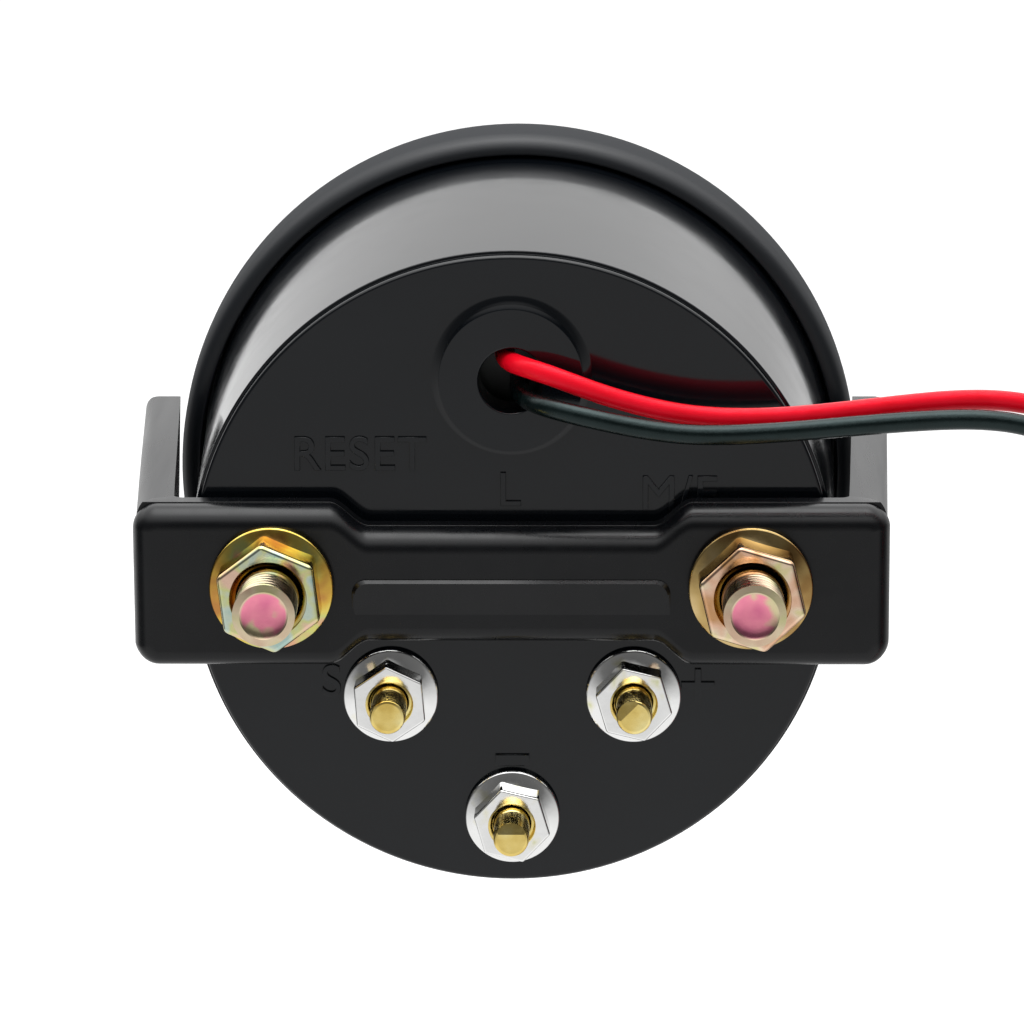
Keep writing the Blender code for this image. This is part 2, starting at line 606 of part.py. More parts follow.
def flange_nut(name, seat, thread, flats, overhang, height, rim, wider, turn, sides, material, at):
    """A hexagon on a coned flange, chamfered on top, with a countersunk mouth, facing -Y."""
    chamfer_slope = tan(NUT_CHAMFER_ANGLE)
    cone_slope = tan(NUT_CONE_ANGLE)
    bore = thread + 2 * SEAT
    mouth = bore + wider
    corner_radius = flats / 2 / cos(pi / 6) - NUT_CORNER_CUT
    flange_radius = corner_radius + overhang
    chamfer_radius = flats / 2 * NUT_CHAMFER_SHARE
    spots = [2 * pi * step / sides for step in range(sides)]
    hexagon = [
        min(flats / 2 / cos((angle + pi / 6) % (pi / 3) - pi / 6), corner_radius) for angle in spots
    ]
    top = seat - height

    def circle(radius, y):
        return [(radius, y)] * sides

    profile = [
        circle(bore / 2, seat),
        circle(flange_radius - EDGE_ROUND, seat),
        circle(flange_radius, seat - EDGE_ROUND / 2),
        circle(flange_radius, seat - rim),
        [(radius, seat - rim - (flange_radius - radius) * cone_slope) for radius in hexagon],
        [(radius, top + (radius - chamfer_radius) * chamfer_slope) for radius in hexagon],
        circle(chamfer_radius, top),
        circle(mouth / 2, top),
        circle(bore / 2, top + (mouth - bore) / 2),
    ]
    rings = [
        [(radius * sin(spot + turn + pi / 6), y, radius * cos(spot + turn + pi / 6))
         for spot, (radius, y) in zip(spots, ring)]
        for ring in profile
    ]
    place(name, skinned_shape(rings, closed=True), material, at)


for side, x, turn in mount_places:
    flange_nut(
        f"mount_nut_{side}", bar_outside - SEAT, MOUNT_THREAD, MOUNT_NUT_FLATS, MOUNT_NUT_FLANGE_OVERHANG,
        MOUNT_NUT_HEIGHT, MOUNT_NUT_RIM, MOUNT_NUT_MOUTH_WIDER, turn,
        SIDES_MOUNT, ZINC_YELLOW, (x, 0.0, 0.0),
    )
for use, x, z, turn in terminal_places:
    flange_nut(
        f"terminal_nut_{use}", back_plate - SEAT, TERMINAL_THREAD, TERMINAL_NUT_FLATS,
        TERMINAL_NUT_FLANGE_OVERHANG, TERMINAL_NUT_HEIGHT, TERMINAL_NUT_RIM, TERMINAL_NUT_MOUTH_WIDER,
        turn, SIDES_TERMINAL, NICKEL, (x, 0.0, z),
    )


# Bracket. A rounded section is drawn along the U, and its height follows the bar's waist.
half_width = bezel_radius + BRACKET_WIDER_THAN_BEZEL / 2
half_height = BRACKET_HEIGHT / 2
corner_turn = pi / 2 - BRACKET_SPLAY
outer_tangent = BRACKET_CORNER * tan(corner_turn / 2)
inner_tangent = BRACKET_INNER_CORNER * tan(corner_turn / 2)
inner_apex = half_width + (-BRACKET_ARM + BRACKET_BAR * sin(BRACKET_SPLAY)) / cos(BRACKET_SPLAY)


def waist(x, narrow):
    """Half height of the bar at x: narrow in the middle, easing out to the full height."""
    along = min(max((abs(x) - BRACKET_WAIST_HALF) / BRACKET_SHOULDER, 0.0), 1.0)
    eased = along * along * (3 - 2 * along)
    return narrow + (half_height - narrow) * eased


def section(outer, inner, top, bottom, trim=0.0):
    """One ring of the bracket, from its outer and inner points and its top and bottom heights."""
    thick = hypot(outer[0] - inner[0], outer[1] - inner[1])
    edge = BRACKET_EDGE_ROUND
    nick = BRACKET_INNER_EDGE
    corner = [(edge - edge * cos(step * pi / 8), edge - edge * sin(step * pi / 8)) for step in range(5)]
    upper = [(across, top - down) for across, down in corner]
    upper += [(thick - nick, top), (thick, top - nick)]
    lower = [(across, -bottom + (top - height)) for across, height in upper]
    ring = []
    for across, height in upper + lower[::-1]:
        share = min(max(across, trim), thick - trim) / thick
        x = outer[0] + (inner[0] - outer[0]) * share
        y = outer[1] + (inner[1] - outer[1]) * share
        ring.append((x, y, min(max(height, -bottom + trim), top - trim) - BRACKET_BELOW_AXIS))
    return ring


def arm_point(apex, base, forward):
    """The point of an arm's face that lies at y = forward, from where the face meets the bar."""
    return (apex + (forward - base) * tan(BRACKET_SPLAY), forward)


outer_centre = (half_width - outer_tangent, bar_outside + BRACKET_CORNER)
inner_centre = (inner_apex - inner_tangent, bar_inside + BRACKET_INNER_CORNER)
corner_end = degrees(corner_turn) - 90
outer_corner = arc(outer_centre, BRACKET_CORNER, -90, corner_end, 5)
inner_corner = arc(inner_centre, BRACKET_INNER_CORNER, -90, corner_end, 5)
right_half = []
for step in range(9):
    x = BRACKET_WAIST_HALF + BRACKET_SHOULDER * step / 8
    heights = (waist(x, BRACKET_WAIST_TOP), waist(x, BRACKET_WAIST_BOTTOM))
    right_half.append(section((x, bar_outside), (x, bar_inside), *heights))
for outer, inner in zip(outer_corner, inner_corner):
    right_half.append(section(outer, inner, half_height, half_height))
for back, trim in ((BRACKET_TIP_CHAMFER, 0.0), (0.0, BRACKET_TIP_CHAMFER)):
    outer = arm_point(half_width, bar_outside, -BRACKET_TIP_BEHIND_RIM - back)
    inner = arm_point(inner_apex, bar_inside, -BRACKET_TIP_BEHIND_RIM - back)
    heights = (half_height + BRACKET_TIP_RISE, half_height - BRACKET_TIP_RISE)
    right_half.append(section(outer, inner, *heights, trim))
left_half = [[(-x, y, z) for x, y, z in ring] for ring in right_half[::-1]]
bracket = place("bracket", skinned_shape(left_half + right_half), BLACK_NYLON)

pad_bottom = PAD_TOP - PAD_DROP
pad_outline = (
    arc((PAD_HALF_WIDTH - PAD_CORNER, PAD_TOP - PAD_CORNER), PAD_CORNER, 0, 90, 4)
    + arc((PAD_CORNER - PAD_HALF_WIDTH, PAD_TOP - PAD_CORNER), PAD_CORNER, 90, 180, 4)
    + [(-PAD_HALF_WIDTH, pad_bottom), (PAD_HALF_WIDTH, pad_bottom)]
)
pad_fade = PAD_RISE / 8
pad_face = [
    (x, bar_outside - (PAD_RISE + pad_fade) * (z - pad_bottom) / PAD_DROP + pad_fade, z)
    for x, z in pad_outline
]
pad_root = [(x, bar_outside + BRACKET_BAR / 3, z) for x, z in pad_outline]
pad = place("pad_tool", skinned_shape([pad_face, pad_root]), BLACK_NYLON)
boolean(bracket, pad, "UNION")
for side, x, turn in mount_places:
    drill(
        bracket, f"bracket_{side}_tool", x, 0.0, mount_hole,
        bar_outside - CUT_PAST, bar_inside + CUT_PAST, SIDES_SMALL,
    )


def smooth_route(route, spacing):
    """Points at even spacing along a smooth curve through the route's points."""
    before_start = tuple(2 * a - b for a, b in zip(route[0], route[1]))
    after_end = tuple(2 * a - b for a, b in zip(route[-1], route[-2]))
    guide = [before_start, *route, after_end]
    fine = []
    for before, start, end, after in zip(guide, guide[1:], guide[2:], guide[3:]):
        for step in range(40):
            t = step / 40
            fine.append(tuple(
                0.5 * (2 * b + (c - a) * t + (2 * a - 5 * b + 4 * c - d) * t * t
                       + (3 * b - a - 3 * c + d) * t * t * t)
                for a, b, c, d in zip(before, start, end, after)
            ))
    fine.append(route[-1])
    travelled = [0.0]
    for near, far in zip(fine, fine[1:]):
        travelled.append(travelled[-1] + hypot(*(b - a for a, b in zip(near, far))))
    pieces = round(travelled[-1] / spacing)
    points, index = [], 0
    for stop in range(pieces):
        goal = travelled[-1] * stop / pieces
        while travelled[index + 1] < goal:
            index += 1
        share = (goal - travelled[index]) / (travelled[index + 1] - travelled[index])
        points.append(tuple(a + (b - a) * share for a, b in zip(fine[index], fine[index + 1])))
    return points + [fine[-1]]


def lead(name, route, material):
    """An insulated lead along its route, and its stripped end below it."""
    points = smooth_route(route, LEAD_POINT_SPACING)
    curve = bpy.data.curves.new(name, "CURVE")
    curve.dimensions = "3D"
    curve.bevel_depth = LEAD_DIAMETER / 2
    curve.bevel_resolution = 2
    curve.use_fill_caps = True
    line = curve.splines.new("POLY")
    line.points.add(len(points) - 1)
    for knot, point in zip(line.points, points):
        knot.co = (*point, 1.0)
    curve.materials.append(material)
    bpy.context.scene.collection.objects.link(bpy.data.objects.new(name, curve))
    x, y, z = route[-1]
    strip_radius = LEAD_STRIP_DIAMETER / 2
    strip_top = z - SEAT
    strip = bmesh.new()
    bmesh.ops.create_cone(
        strip, cap_ends=True, segments=SIDES_TINY, radius1=strip_radius, radius2=strip_radius,
        depth=LEAD_STRIP_LENGTH,
    )
    place(f"{name}_end", strip, TINNED_COPPER, at=(x, y, strip_top - LEAD_STRIP_LENGTH / 2))


lead("lead_red", RED_ROUTE, RED_PVC)
lead("lead_black", BLACK_ROUTE, BLACK_PVC)
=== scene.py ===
"""Looks of the panel water temperature gauge, seen from behind and a little above.

Lengths are in metres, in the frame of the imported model: the gauge's axis is Y, the dial faces +Y, the
back plate faces -Y, and the bezel's rim seats on the panel in the plane Y = 0.
"""

from math import cos, hypot, pi, radians, sin, tan

import bmesh
import bpy
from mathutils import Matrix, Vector


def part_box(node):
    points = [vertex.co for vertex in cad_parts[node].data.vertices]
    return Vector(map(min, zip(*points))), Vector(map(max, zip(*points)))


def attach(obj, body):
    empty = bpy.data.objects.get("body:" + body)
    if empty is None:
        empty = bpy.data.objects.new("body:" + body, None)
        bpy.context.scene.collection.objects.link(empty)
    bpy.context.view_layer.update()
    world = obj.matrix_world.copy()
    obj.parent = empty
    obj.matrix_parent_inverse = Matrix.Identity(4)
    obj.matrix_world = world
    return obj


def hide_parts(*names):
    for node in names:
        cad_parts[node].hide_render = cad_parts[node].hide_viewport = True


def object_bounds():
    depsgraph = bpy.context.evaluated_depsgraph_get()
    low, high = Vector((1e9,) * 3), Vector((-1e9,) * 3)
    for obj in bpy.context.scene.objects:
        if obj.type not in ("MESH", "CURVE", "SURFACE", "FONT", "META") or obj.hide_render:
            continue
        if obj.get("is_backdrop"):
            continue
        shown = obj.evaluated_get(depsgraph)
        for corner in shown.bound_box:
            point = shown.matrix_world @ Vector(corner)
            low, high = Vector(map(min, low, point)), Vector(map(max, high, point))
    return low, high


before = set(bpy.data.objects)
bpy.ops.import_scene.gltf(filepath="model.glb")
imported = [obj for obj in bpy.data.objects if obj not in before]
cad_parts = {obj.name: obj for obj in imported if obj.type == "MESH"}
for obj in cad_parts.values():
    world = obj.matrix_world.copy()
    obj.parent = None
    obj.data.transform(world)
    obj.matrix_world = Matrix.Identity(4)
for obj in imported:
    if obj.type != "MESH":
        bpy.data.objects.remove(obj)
cad_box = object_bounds()

# The studio: white air behind the gauge and one large soft lamp overhead. In mirror images the air is
# brightest above, dim in the room behind the camera, and dark at both sides, where black curtains hang.
AIR_ON_MATT = 0.62
CURTAINS_START = 0.78
CURTAINS_FULL = 0.98
CURTAINS_DARKEN = 0.88
SHADE_DARKENS = 0.38
RAMP_TOP = 8.0
bpy.context.scene.view_settings.view_transform = "Standard"
bpy.ops.object.select_all(action="DESELECT")
bpy.ops.object.camera_add(
    location=(0.00558, -0.40670, 0.08520),
    rotation=(radians(77.674), radians(0.155), radians(0.833)),
)
camera = bpy.context.object
camera.name = "camera"
camera.data.lens = 164.87
camera.data.sensor_width = 36.0
camera.data.clip_start = 0.01
bpy.context.scene.camera = camera

world = bpy.data.worlds.new("studio")
bpy.context.scene.world = world
world.use_nodes = True
air = world.node_tree
air.nodes.clear()
heading = air.nodes.new("ShaderNodeTexCoord")
axes = air.nodes.new("ShaderNodeSeparateXYZ")
air.links.new(heading.outputs["Generated"], axes.inputs["Vector"])


def air_sum(kind, first, second):
    """One sum on two values of the air, which are sockets or numbers."""
    node = air.nodes.new("ShaderNodeMath")
    node.operation = kind
    for socket, value in zip(node.inputs, (first, second)):
        if isinstance(value, float):
            socket.default_value = value
        else:
            air.links.new(value, socket)
    return node.outputs["Value"]


def rest_of(value):
    """One minus a value of the air."""
    return air_sum("SUBTRACT", 1.0, value)


def air_step(value, start, end):
    """A soft step from 0 to 1 as the value goes from start to end."""
    node = air.nodes.new("ShaderNodeMapRange")
    node.interpolation_type = "SMOOTHSTEP"
    node.inputs["From Min"].default_value = start
    node.inputs["From Max"].default_value = end
    air.links.new(value, node.inputs["Value"])
    return node.outputs["Result"]


def air_ramp(stops):
    """Brightness by height: (sine of the elevation, brightness) pairs."""
    ramp = air.nodes.new("ShaderNodeValToRGB")
    while len(ramp.color_ramp.elements) < len(stops):
        ramp.color_ramp.elements.new(0.5)
    for element, (height, bright) in zip(ramp.color_ramp.elements, stops):
        element.position = (height + 1) / 2
        element.color = (bright / RAMP_TOP, bright / RAMP_TOP, bright / RAMP_TOP, 1.0)
    air.links.new(air_sum("MULTIPLY_ADD", axes.outputs["Z"], 0.5), ramp.inputs["Fac"])
    ramp.inputs["Fac"].links[0].from_node.inputs[2].default_value = 0.5
    return air_sum("MULTIPLY", ramp.outputs["Color"], RAMP_TOP)


room = air_ramp([
    (-1.0, 0.95), (-0.64, 0.95), (-0.42, 0.92), (-0.29, 0.82), (-0.21, 0.68), (-0.12, 0.58), (0.0, 0.36),
    (0.17, 0.14), (0.48, 0.10), (0.60, 0.55), (0.68, 1.30), (0.82, 2.00), (0.91, 2.50),
    (0.96, 5.00), (1.0, 5.50),
])
backdrop = air_ramp([
    (-1.0, 0.95), (-0.30, 1.02), (0.0, 1.00), (0.31, 0.92), (0.45, 1.40), (0.60, 2.20), (0.87, 2.10),
    (0.92, 2.80), (0.965, 5.00), (1.0, 5.50),
])
shade = air_sum(
    "MULTIPLY", air_step(axes.outputs["X"], 0.10, 0.32), rest_of(air_step(axes.outputs["Z"], -0.05, 0.16))
)
backdrop = air_sum("MULTIPLY", backdrop, rest_of(air_sum("MULTIPLY", shade, SHADE_DARKENS)))
behind = air_step(axes.outputs["Y"], -0.25, 0.35)
both = air_sum("ADD", air_sum("MULTIPLY", backdrop, behind), air_sum("MULTIPLY", room, rest_of(behind)))
beside = air_step(air_sum("ABSOLUTE", axes.outputs["X"], 0.0), CURTAINS_START, CURTAINS_FULL)
low = rest_of(air_step(axes.outputs["Z"], 0.10, 0.55))
curtains = air_sum("MULTIPLY", air_sum("MULTIPLY", beside, low), CURTAINS_DARKEN)
mirrored = air_sum("MULTIPLY", both, rest_of(curtains))
rays = air.nodes.new("ShaderNodeLightPath")
seen = air_sum("MAXIMUM", rays.outputs["Is Camera Ray"], rays.outputs["Is Transmission Ray"])
glossy = rays.outputs["Is Glossy Ray"]
matt = air_sum("MULTIPLY", rest_of(seen), rest_of(glossy))
strength = air_sum(
    "ADD", air_sum("ADD", seen, air_sum("MULTIPLY", matt, AIR_ON_MATT)),
    air_sum("MULTIPLY", air_sum("MULTIPLY", glossy, rest_of(seen)), mirrored),
)
sky = air.nodes.new("ShaderNodeBackground")
sky.inputs["Color"].default_value = (1.0, 1.0, 1.0, 1.0)
air.links.new(strength, sky.inputs["Strength"])
sky_out = air.nodes.new("ShaderNodeOutputWorld")
air.links.new(sky.outputs["Background"], sky_out.inputs["Surface"])

bpy.ops.object.light_add(type="AREA", location=(-0.05, -0.02, 0.50), rotation=(radians(-4.0), 0.0, 0.0))
overhead = bpy.context.object
overhead.name = "overhead_lamp"
overhead.data.size = 0.45
overhead.data.energy = 2.3
overhead.visible_glossy = False

# The table is a white sheet that keeps the gauge's shadow. Its own faint glow makes it as white as the
# air behind it.
TABLE_SIZE = 4.0
TABLE_TOP = -0.0925
TABLE_GLOW = 0.56


def set_shader(material, socket, value):
    """Set one of a material's shader values."""
    material.node_tree.nodes["Principled BSDF"].inputs[socket].default_value = value


def new_surface(name, colour, roughness, metallic=0.0, specular=0.5):
    """A material with its shader, ready for its pattern."""
    material = bpy.data.materials.new(name)
    material.use_nodes = True
    set_shader(material, "Base Color", (*colour, 1.0))
    set_shader(material, "Roughness", roughness)
    set_shader(material, "Metallic", metallic)
    set_shader(material, "Specular IOR Level", specular)
    material.diffuse_color = (*colour, 1.0)
    return material


bpy.ops.object.select_all(action="DESELECT")
bpy.ops.mesh.primitive_grid_add(
    x_subdivisions=8, y_subdivisions=8, size=TABLE_SIZE, location=(0.0, 0.0, TABLE_TOP)
)
table = bpy.context.object
table.name = "table"
table.visible_glossy = False
white = new_surface("table_white", (0.8, 0.8, 0.8), 0.9, specular=0.0)
set_shader(white, "Emission Color", (1.0, 1.0, 1.0, 1.0))
tree = white.node_tree
rays = tree.nodes.new("ShaderNodeLightPath")
glow = tree.nodes.new("ShaderNodeMath")
glow.operation = "MULTIPLY"
glow.inputs[1].default_value = TABLE_GLOW
tree.links.new(rays.outputs["Is Camera Ray"], glow.inputs[0])
tree.links.new(glow.outputs["Value"], tree.nodes["Principled BSDF"].inputs["Emission Strength"])
table.data.materials.append(white)
table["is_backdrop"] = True

# Lamp leads. Two soft PVC insulated wires, red and black, leave through the moulded boss, run out to
# the right in a shallow sag and hang down. Their tinned ends are stripped.
LEAD_DIAMETER = 0.0016
LEAD_POINT_SPACING = 0.0040
STRIP_LENGTH = 0.0060
STRIP_GAP = 0.0003
STRAND_RADIUS = 0.00013
STRAND_FROM_MIDDLE = 0.00026
STRAND_STEPS = 12
STRAND_TWIST = radians(-14.0)
RED_ROUTE = [
    (-0.0006, -0.0347, 0.0174), (-0.0006, -0.0380, 0.0174), (-0.0005, -0.0411, 0.0175),
    (0.0007, -0.0438, 0.0177), (0.0034, -0.0451, 0.0171), (0.0072, -0.0452, 0.0156),
    (0.0134, -0.0452, 0.0140), (0.0196, -0.0452, 0.0137), (0.0255, -0.0452, 0.0142),
    (0.0315, -0.0452, 0.0149), (0.0362, -0.0452, 0.0153), (0.0408, -0.0452, 0.0150),
    (0.0452, -0.0452, 0.0134), (0.0485, -0.0452, 0.0101), (0.0500, -0.0452, 0.0050),
    (0.0503, -0.0451, -0.0020), (0.0502, -0.0449, -0.0160), (0.0506, -0.0447, -0.0330),
    (0.0513, -0.0447, -0.0500), (0.0517, -0.0449, -0.0670), (0.0516, -0.0452, -0.0850),
]
BLACK_ROUTE = [
    (0.0006, -0.0347, 0.0149), (0.0006, -0.0380, 0.0149), (0.0006, -0.0415, 0.0149),
    (0.0016, -0.0449, 0.0149), (0.0042, -0.0468, 0.0145), (0.0078, -0.0472, 0.0138),
    (0.0131, -0.0472, 0.0128), (0.0196, -0.0472, 0.0129), (0.0255, -0.0472, 0.0134),
    (0.0315, -0.0472, 0.0139), (0.0360, -0.0472, 0.0141), (0.0400, -0.0472, 0.0138),
    (0.0437, -0.0472, 0.0124), (0.0465, -0.0472, 0.0094), (0.0478, -0.0472, 0.0045),
    (0.0480, -0.0473, -0.0025), (0.0478, -0.0477, -0.0160), (0.0474, -0.0480, -0.0330),
    (0.0471, -0.0482, -0.0500), (0.0472, -0.0481, -0.0670), (0.0476, -0.0479, -0.0830),
]


def smooth_route(route, spacing):
    """Points at even spacing along a smooth curve through the route's points."""
    before_start = tuple(2 * a - b for a, b in zip(route[0], route[1]))
    after_end = tuple(2 * a - b for a, b in zip(route[-1], route[-2]))
    guide = [before_start, *route, after_end]
    fine = []
    for before, start, end, after in zip(guide, guide[1:], guide[2:], guide[3:]):
        for step in range(40):
            t = step / 40
            fine.append(tuple(
                0.5 * (2 * b + (c - a) * t + (2 * a - 5 * b + 4 * c - d) * t * t
                       + (3 * b - a - 3 * c + d) * t * t * t)
                for a, b, c, d in zip(before, start, end, after)
            ))
    fine.append(route[-1])
    travelled = [0.0]
    for near, far in zip(fine, fine[1:]):
        travelled.append(travelled[-1] + hypot(*(b - a for a, b in zip(near, far))))
    pieces = round(travelled[-1] / spacing)
    points, index = [], 0
    for stop in range(pieces):
        goal = travelled[-1] * stop / pieces
        while travelled[index + 1] < goal:
            index += 1
        share = (goal - travelled[index]) / (travelled[index + 1] - travelled[index])
        points.append(tuple(a + (b - a) * share for a, b in zip(fine[index], fine[index + 1])))
    return points + [fine[-1]]


def pick(*pieces):
    """Select these pieces alone. The first is the active one."""
    bpy.ops.object.select_all(action="DESELECT")
    for piece in pieces:
        piece.select_set(True)
    bpy.context.view_layer.objects.active = pieces[0]


def join(name, *pieces):
    """Join these pieces into the first one, under this name."""
    pick(*pieces)
    bpy.ops.object.join()
    pieces[0].name = name
    return pieces[0]


def noise(material, scale, detail=3.0, stretch=(1.0, 1.0, 1.0)):
    """The value of a cloudy pattern in the piece's own space, finer with a larger scale."""
    tree = material.node_tree
    space = tree.nodes.new("ShaderNodeTexCoord")
    mapping = tree.nodes.new("ShaderNodeMapping")
    mapping.inputs["Scale"].default_value = stretch
    tree.links.new(space.outputs["Object"], mapping.inputs["Vector"])
    cloud = tree.nodes.new("ShaderNodeTexNoise")
    cloud.inputs["Scale"].default_value = scale
    cloud.inputs["Detail"].default_value = detail
    tree.links.new(mapping.outputs["Vector"], cloud.inputs["Vector"])
    return cloud.outputs["Fac"]


def vary(material, value, low, high, socket, start=0.3, end=0.7):
    """Drive a shader socket from a pattern's value, from low to high."""
    tree = material.node_tree
    spread = tree.nodes.new("ShaderNodeMapRange")
    spread.inputs["From Min"].default_value = start
    spread.inputs["From Max"].default_value = end
    spread.inputs["To Min"].default_value = low
    spread.inputs["To Max"].default_value = high
    tree.links.new(value, spread.inputs["Value"])
    tree.links.new(spread.outputs["Result"], tree.nodes["Principled BSDF"].inputs[socket])


def colours(material, value, stops):
    """Drive the base colour from a pattern's value through (position, colour) stops."""
    tree = material.node_tree
    ramp = tree.nodes.new("ShaderNodeValToRGB")
    while len(ramp.color_ramp.elements) < len(stops):
        ramp.color_ramp.elements.new(0.5)
    for element, (position, colour) in zip(ramp.color_ramp.elements, stops):
        element.position = position
        element.color = (*colour, 1.0)
    tree.links.new(value, ramp.inputs["Fac"])
    tree.links.new(ramp.outputs["Color"], tree.nodes["Principled BSDF"].inputs["Base Color"])


def mottle(material, scale, low, high):
    """Let the base colour wander between two shades, in finer patches with a larger scale."""
    colours(material, noise(material, scale), [(0.3, low), (0.7, high)])


def relief(material, value, height):
    """Raise the surface by a pattern's value, height being in metres."""
    tree = material.node_tree
    bump = tree.nodes.new("ShaderNodeBump")
    bump.inputs["Strength"].default_value = 1.0
    bump.inputs["Distance"].default_value = height
    tree.links.new(value, bump.inputs["Height"])
    tree.links.new(bump.outputs["Normal"], tree.nodes["Principled BSDF"].inputs["Normal"])


red_pvc = new_surface("red_pvc", (0.90, 0.003, 0.016), 0.34, specular=0.30)
mottle(red_pvc, 420.0, (0.86, 0.002, 0.012), (0.95, 0.004, 0.020))
set_shader(red_pvc, "Specular Tint", (1.0, 0.45, 0.65, 1.0))
vary(red_pvc, noise(red_pvc, 900.0), 0.28, 0.36, "Roughness")
relief(red_pvc, noise(red_pvc, 2600.0, 4.0), 0.00002)
black_pvc = new_surface("black_pvc", (0.002, 0.005, 0.005), 0.27, specular=0.34)
set_shader(black_pvc, "Specular Tint", (0.76, 1.0, 1.0, 1.0))
mottle(black_pvc, 420.0, (0.001, 0.003, 0.003), (0.003, 0.007, 0.007))
vary(black_pvc, noise(black_pvc, 900.0), 0.22, 0.32, "Roughness")
relief(black_pvc, noise(black_pvc, 2600.0, 4.0), 0.00002)
tinned = new_surface("tinned_copper", (0.70, 0.69, 0.66), 0.35, metallic=1.0)
mottle(tinned, 1500.0, (0.60, 0.58, 0.54), (0.78, 0.77, 0.75))
vary(tinned, noise(tinned, 3000.0), 0.28, 0.48, "Roughness")

for name, route, insulation in (
    ("lead_red", RED_ROUTE, red_pvc), ("lead_black", BLACK_ROUTE, black_pvc)
):
    points = smooth_route(route, LEAD_POINT_SPACING)
    curve = bpy.data.curves.new(f"{name}_wire", "CURVE")
    curve.dimensions = "3D"
    curve.bevel_depth = LEAD_DIAMETER / 2
    curve.bevel_resolution = 6
    curve.use_fill_caps = True
    line = curve.splines.new("NURBS")
    line.points.add(len(points) - 1)
    for knot, point in zip(line.points, points):
        knot.co = (*point, 1.0)
    line.order_u = 4
    line.use_endpoint_u = True
    line.resolution_u = 6
    curve.materials.append(insulation)
    wire = bpy.data.objects.new(f"{name}_wire", curve)
    bpy.context.scene.collection.objects.link(wire)

    # Seven tinned strands, laid up with a slight twist.
    x, y, z = route[-1]
    strands = []
    for number in range(7):
        bpy.ops.object.select_all(action="DESELECT")
        away = 0.0 if number == 0 else STRAND_FROM_MIDDLE
        bpy.ops.mesh.primitive_circle_add(
            vertices=10, radius=STRAND_RADIUS, fill_type="NGON",
            location=(x + away * cos(number * pi / 3), y + away * sin(number * pi / 3), z - STRIP_GAP),
        )
        strand = bpy.context.object
        bpy.ops.object.mode_set(mode="EDIT")
        bpy.ops.mesh.select_all(action="SELECT")
        for step in range(STRAND_STEPS):
            bpy.ops.mesh.extrude_region_move(
                TRANSFORM_OT_translate={"value": (0.0, 0.0, -STRIP_LENGTH / STRAND_STEPS)}
            )
            bpy.ops.transform.rotate(value=STRAND_TWIST, orient_axis="Z", center_override=(x, y, z))
        bpy.ops.mesh.select_all(action="SELECT")
        bpy.ops.mesh.normals_make_consistent(inside=False)
        bpy.ops.object.mode_set(mode="OBJECT")
        strands.append(strand)
    end = join(f"{name}_strands", *strands)
    bpy.ops.object.transform_apply()
    bpy.ops.object.shade_smooth_by_angle(angle=radians(40.0))
    end.data.materials.append(tinned)
    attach(end, "gauge")
    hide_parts(f"{name}_end")
    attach(wire, "gauge")
    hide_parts(name)

# Housing. One black ABS cup, moulded in a polished tool, that widens from its stepped back edge to the
# bezel. A boss stands round the cable hole, and the nuts cover the drilled holes of the five studs.
BODY_RADIUS = 0.0260
MOUTH_RADIUS = 0.0279
BORE_RADIUS = 0.0242
BACK_PLATE = -0.0395
STEP_FRONT = -0.0385
STEP_RADIUS = 0.02572
FLOOR_INSIDE = -0.0370
MOUTH_FRONT = 0.0043
BOSS_RADIUS = 0.00575
BOSS_BACK = -0.04195
BOSS_UP = 0.0161
CABLE_HOLE_RADIUS = 0.0026
MOUNT_SIDE = 0.0190
MOUNT_HOLE_RADIUS = 0.0028
TERMINALS = {"signal": (-0.0098, -0.0101), "plus": (0.0098, -0.0101), "minus": (0.0, -0.0202)}
TERMINAL_HOLE_RADIUS = 0.00175
SMOOTH_ANGLE = radians(32.0)


def arc(centre, radius, start, end, steps, squash=1.0):
    """Points of an arc from start to end degrees, its second half axis squashed."""
    turn = [radians(start + (end - start) * step / steps) for step in range(steps + 1)]
    return [(centre[0] + radius * cos(angle), centre[1] + radius * squash * sin(angle)) for angle in turn]


def lathe(name, outline, sides, material, x=0.0, z=0.0, ring=False):
    """A round piece along Y. A circle is extruded and scaled from point to point of (radius, y)."""
    bpy.ops.object.select_all(action="DESELECT")
    radius, depth = outline[0]
    bpy.ops.mesh.primitive_circle_add(
        vertices=sides, radius=radius, fill_type="NOTHING" if ring else "NGON",
        location=(x, depth, z), rotation=(pi / 2, 0.0, 0.0),
    )
    piece = bpy.context.object
    piece.name = name
    bpy.ops.object.transform_apply()
    bpy.ops.object.mode_set(mode="EDIT")
    bpy.ops.mesh.select_all(action="SELECT")
    stops = outline + outline[:1] if ring else outline
    for start, end in zip(stops, stops[1:]):
        bpy.ops.mesh.extrude_region_move(TRANSFORM_OT_translate={"value": (0.0, end[1] - start[1], 0.0)})
        growth = end[0] / start[0]
        bpy.ops.transform.resize(value=(growth, 1.0, growth), center_override=(x, end[1], z))
    bpy.ops.mesh.select_all(action="SELECT")
    bpy.ops.mesh.remove_doubles(threshold=0.000001)
    bpy.ops.mesh.normals_make_consistent(inside=False)
    bpy.ops.object.mode_set(mode="OBJECT")
    bpy.ops.object.shade_smooth_by_angle(angle=SMOOTH_ANGLE)
    piece.data.materials.append(material)
    return piece


def combine(piece, tool, operation):
    """Cut the piece with the tool, or join them, and throw the tool away."""
    pick(piece)
    change = piece.modifiers.new("shape", "BOOLEAN")
    change.operation = operation
    change.solver = "EXACT"
    change.object = tool
    bpy.ops.object.modifier_apply(modifier=change.name)
    bpy.data.objects.remove(tool, do_unlink=True)


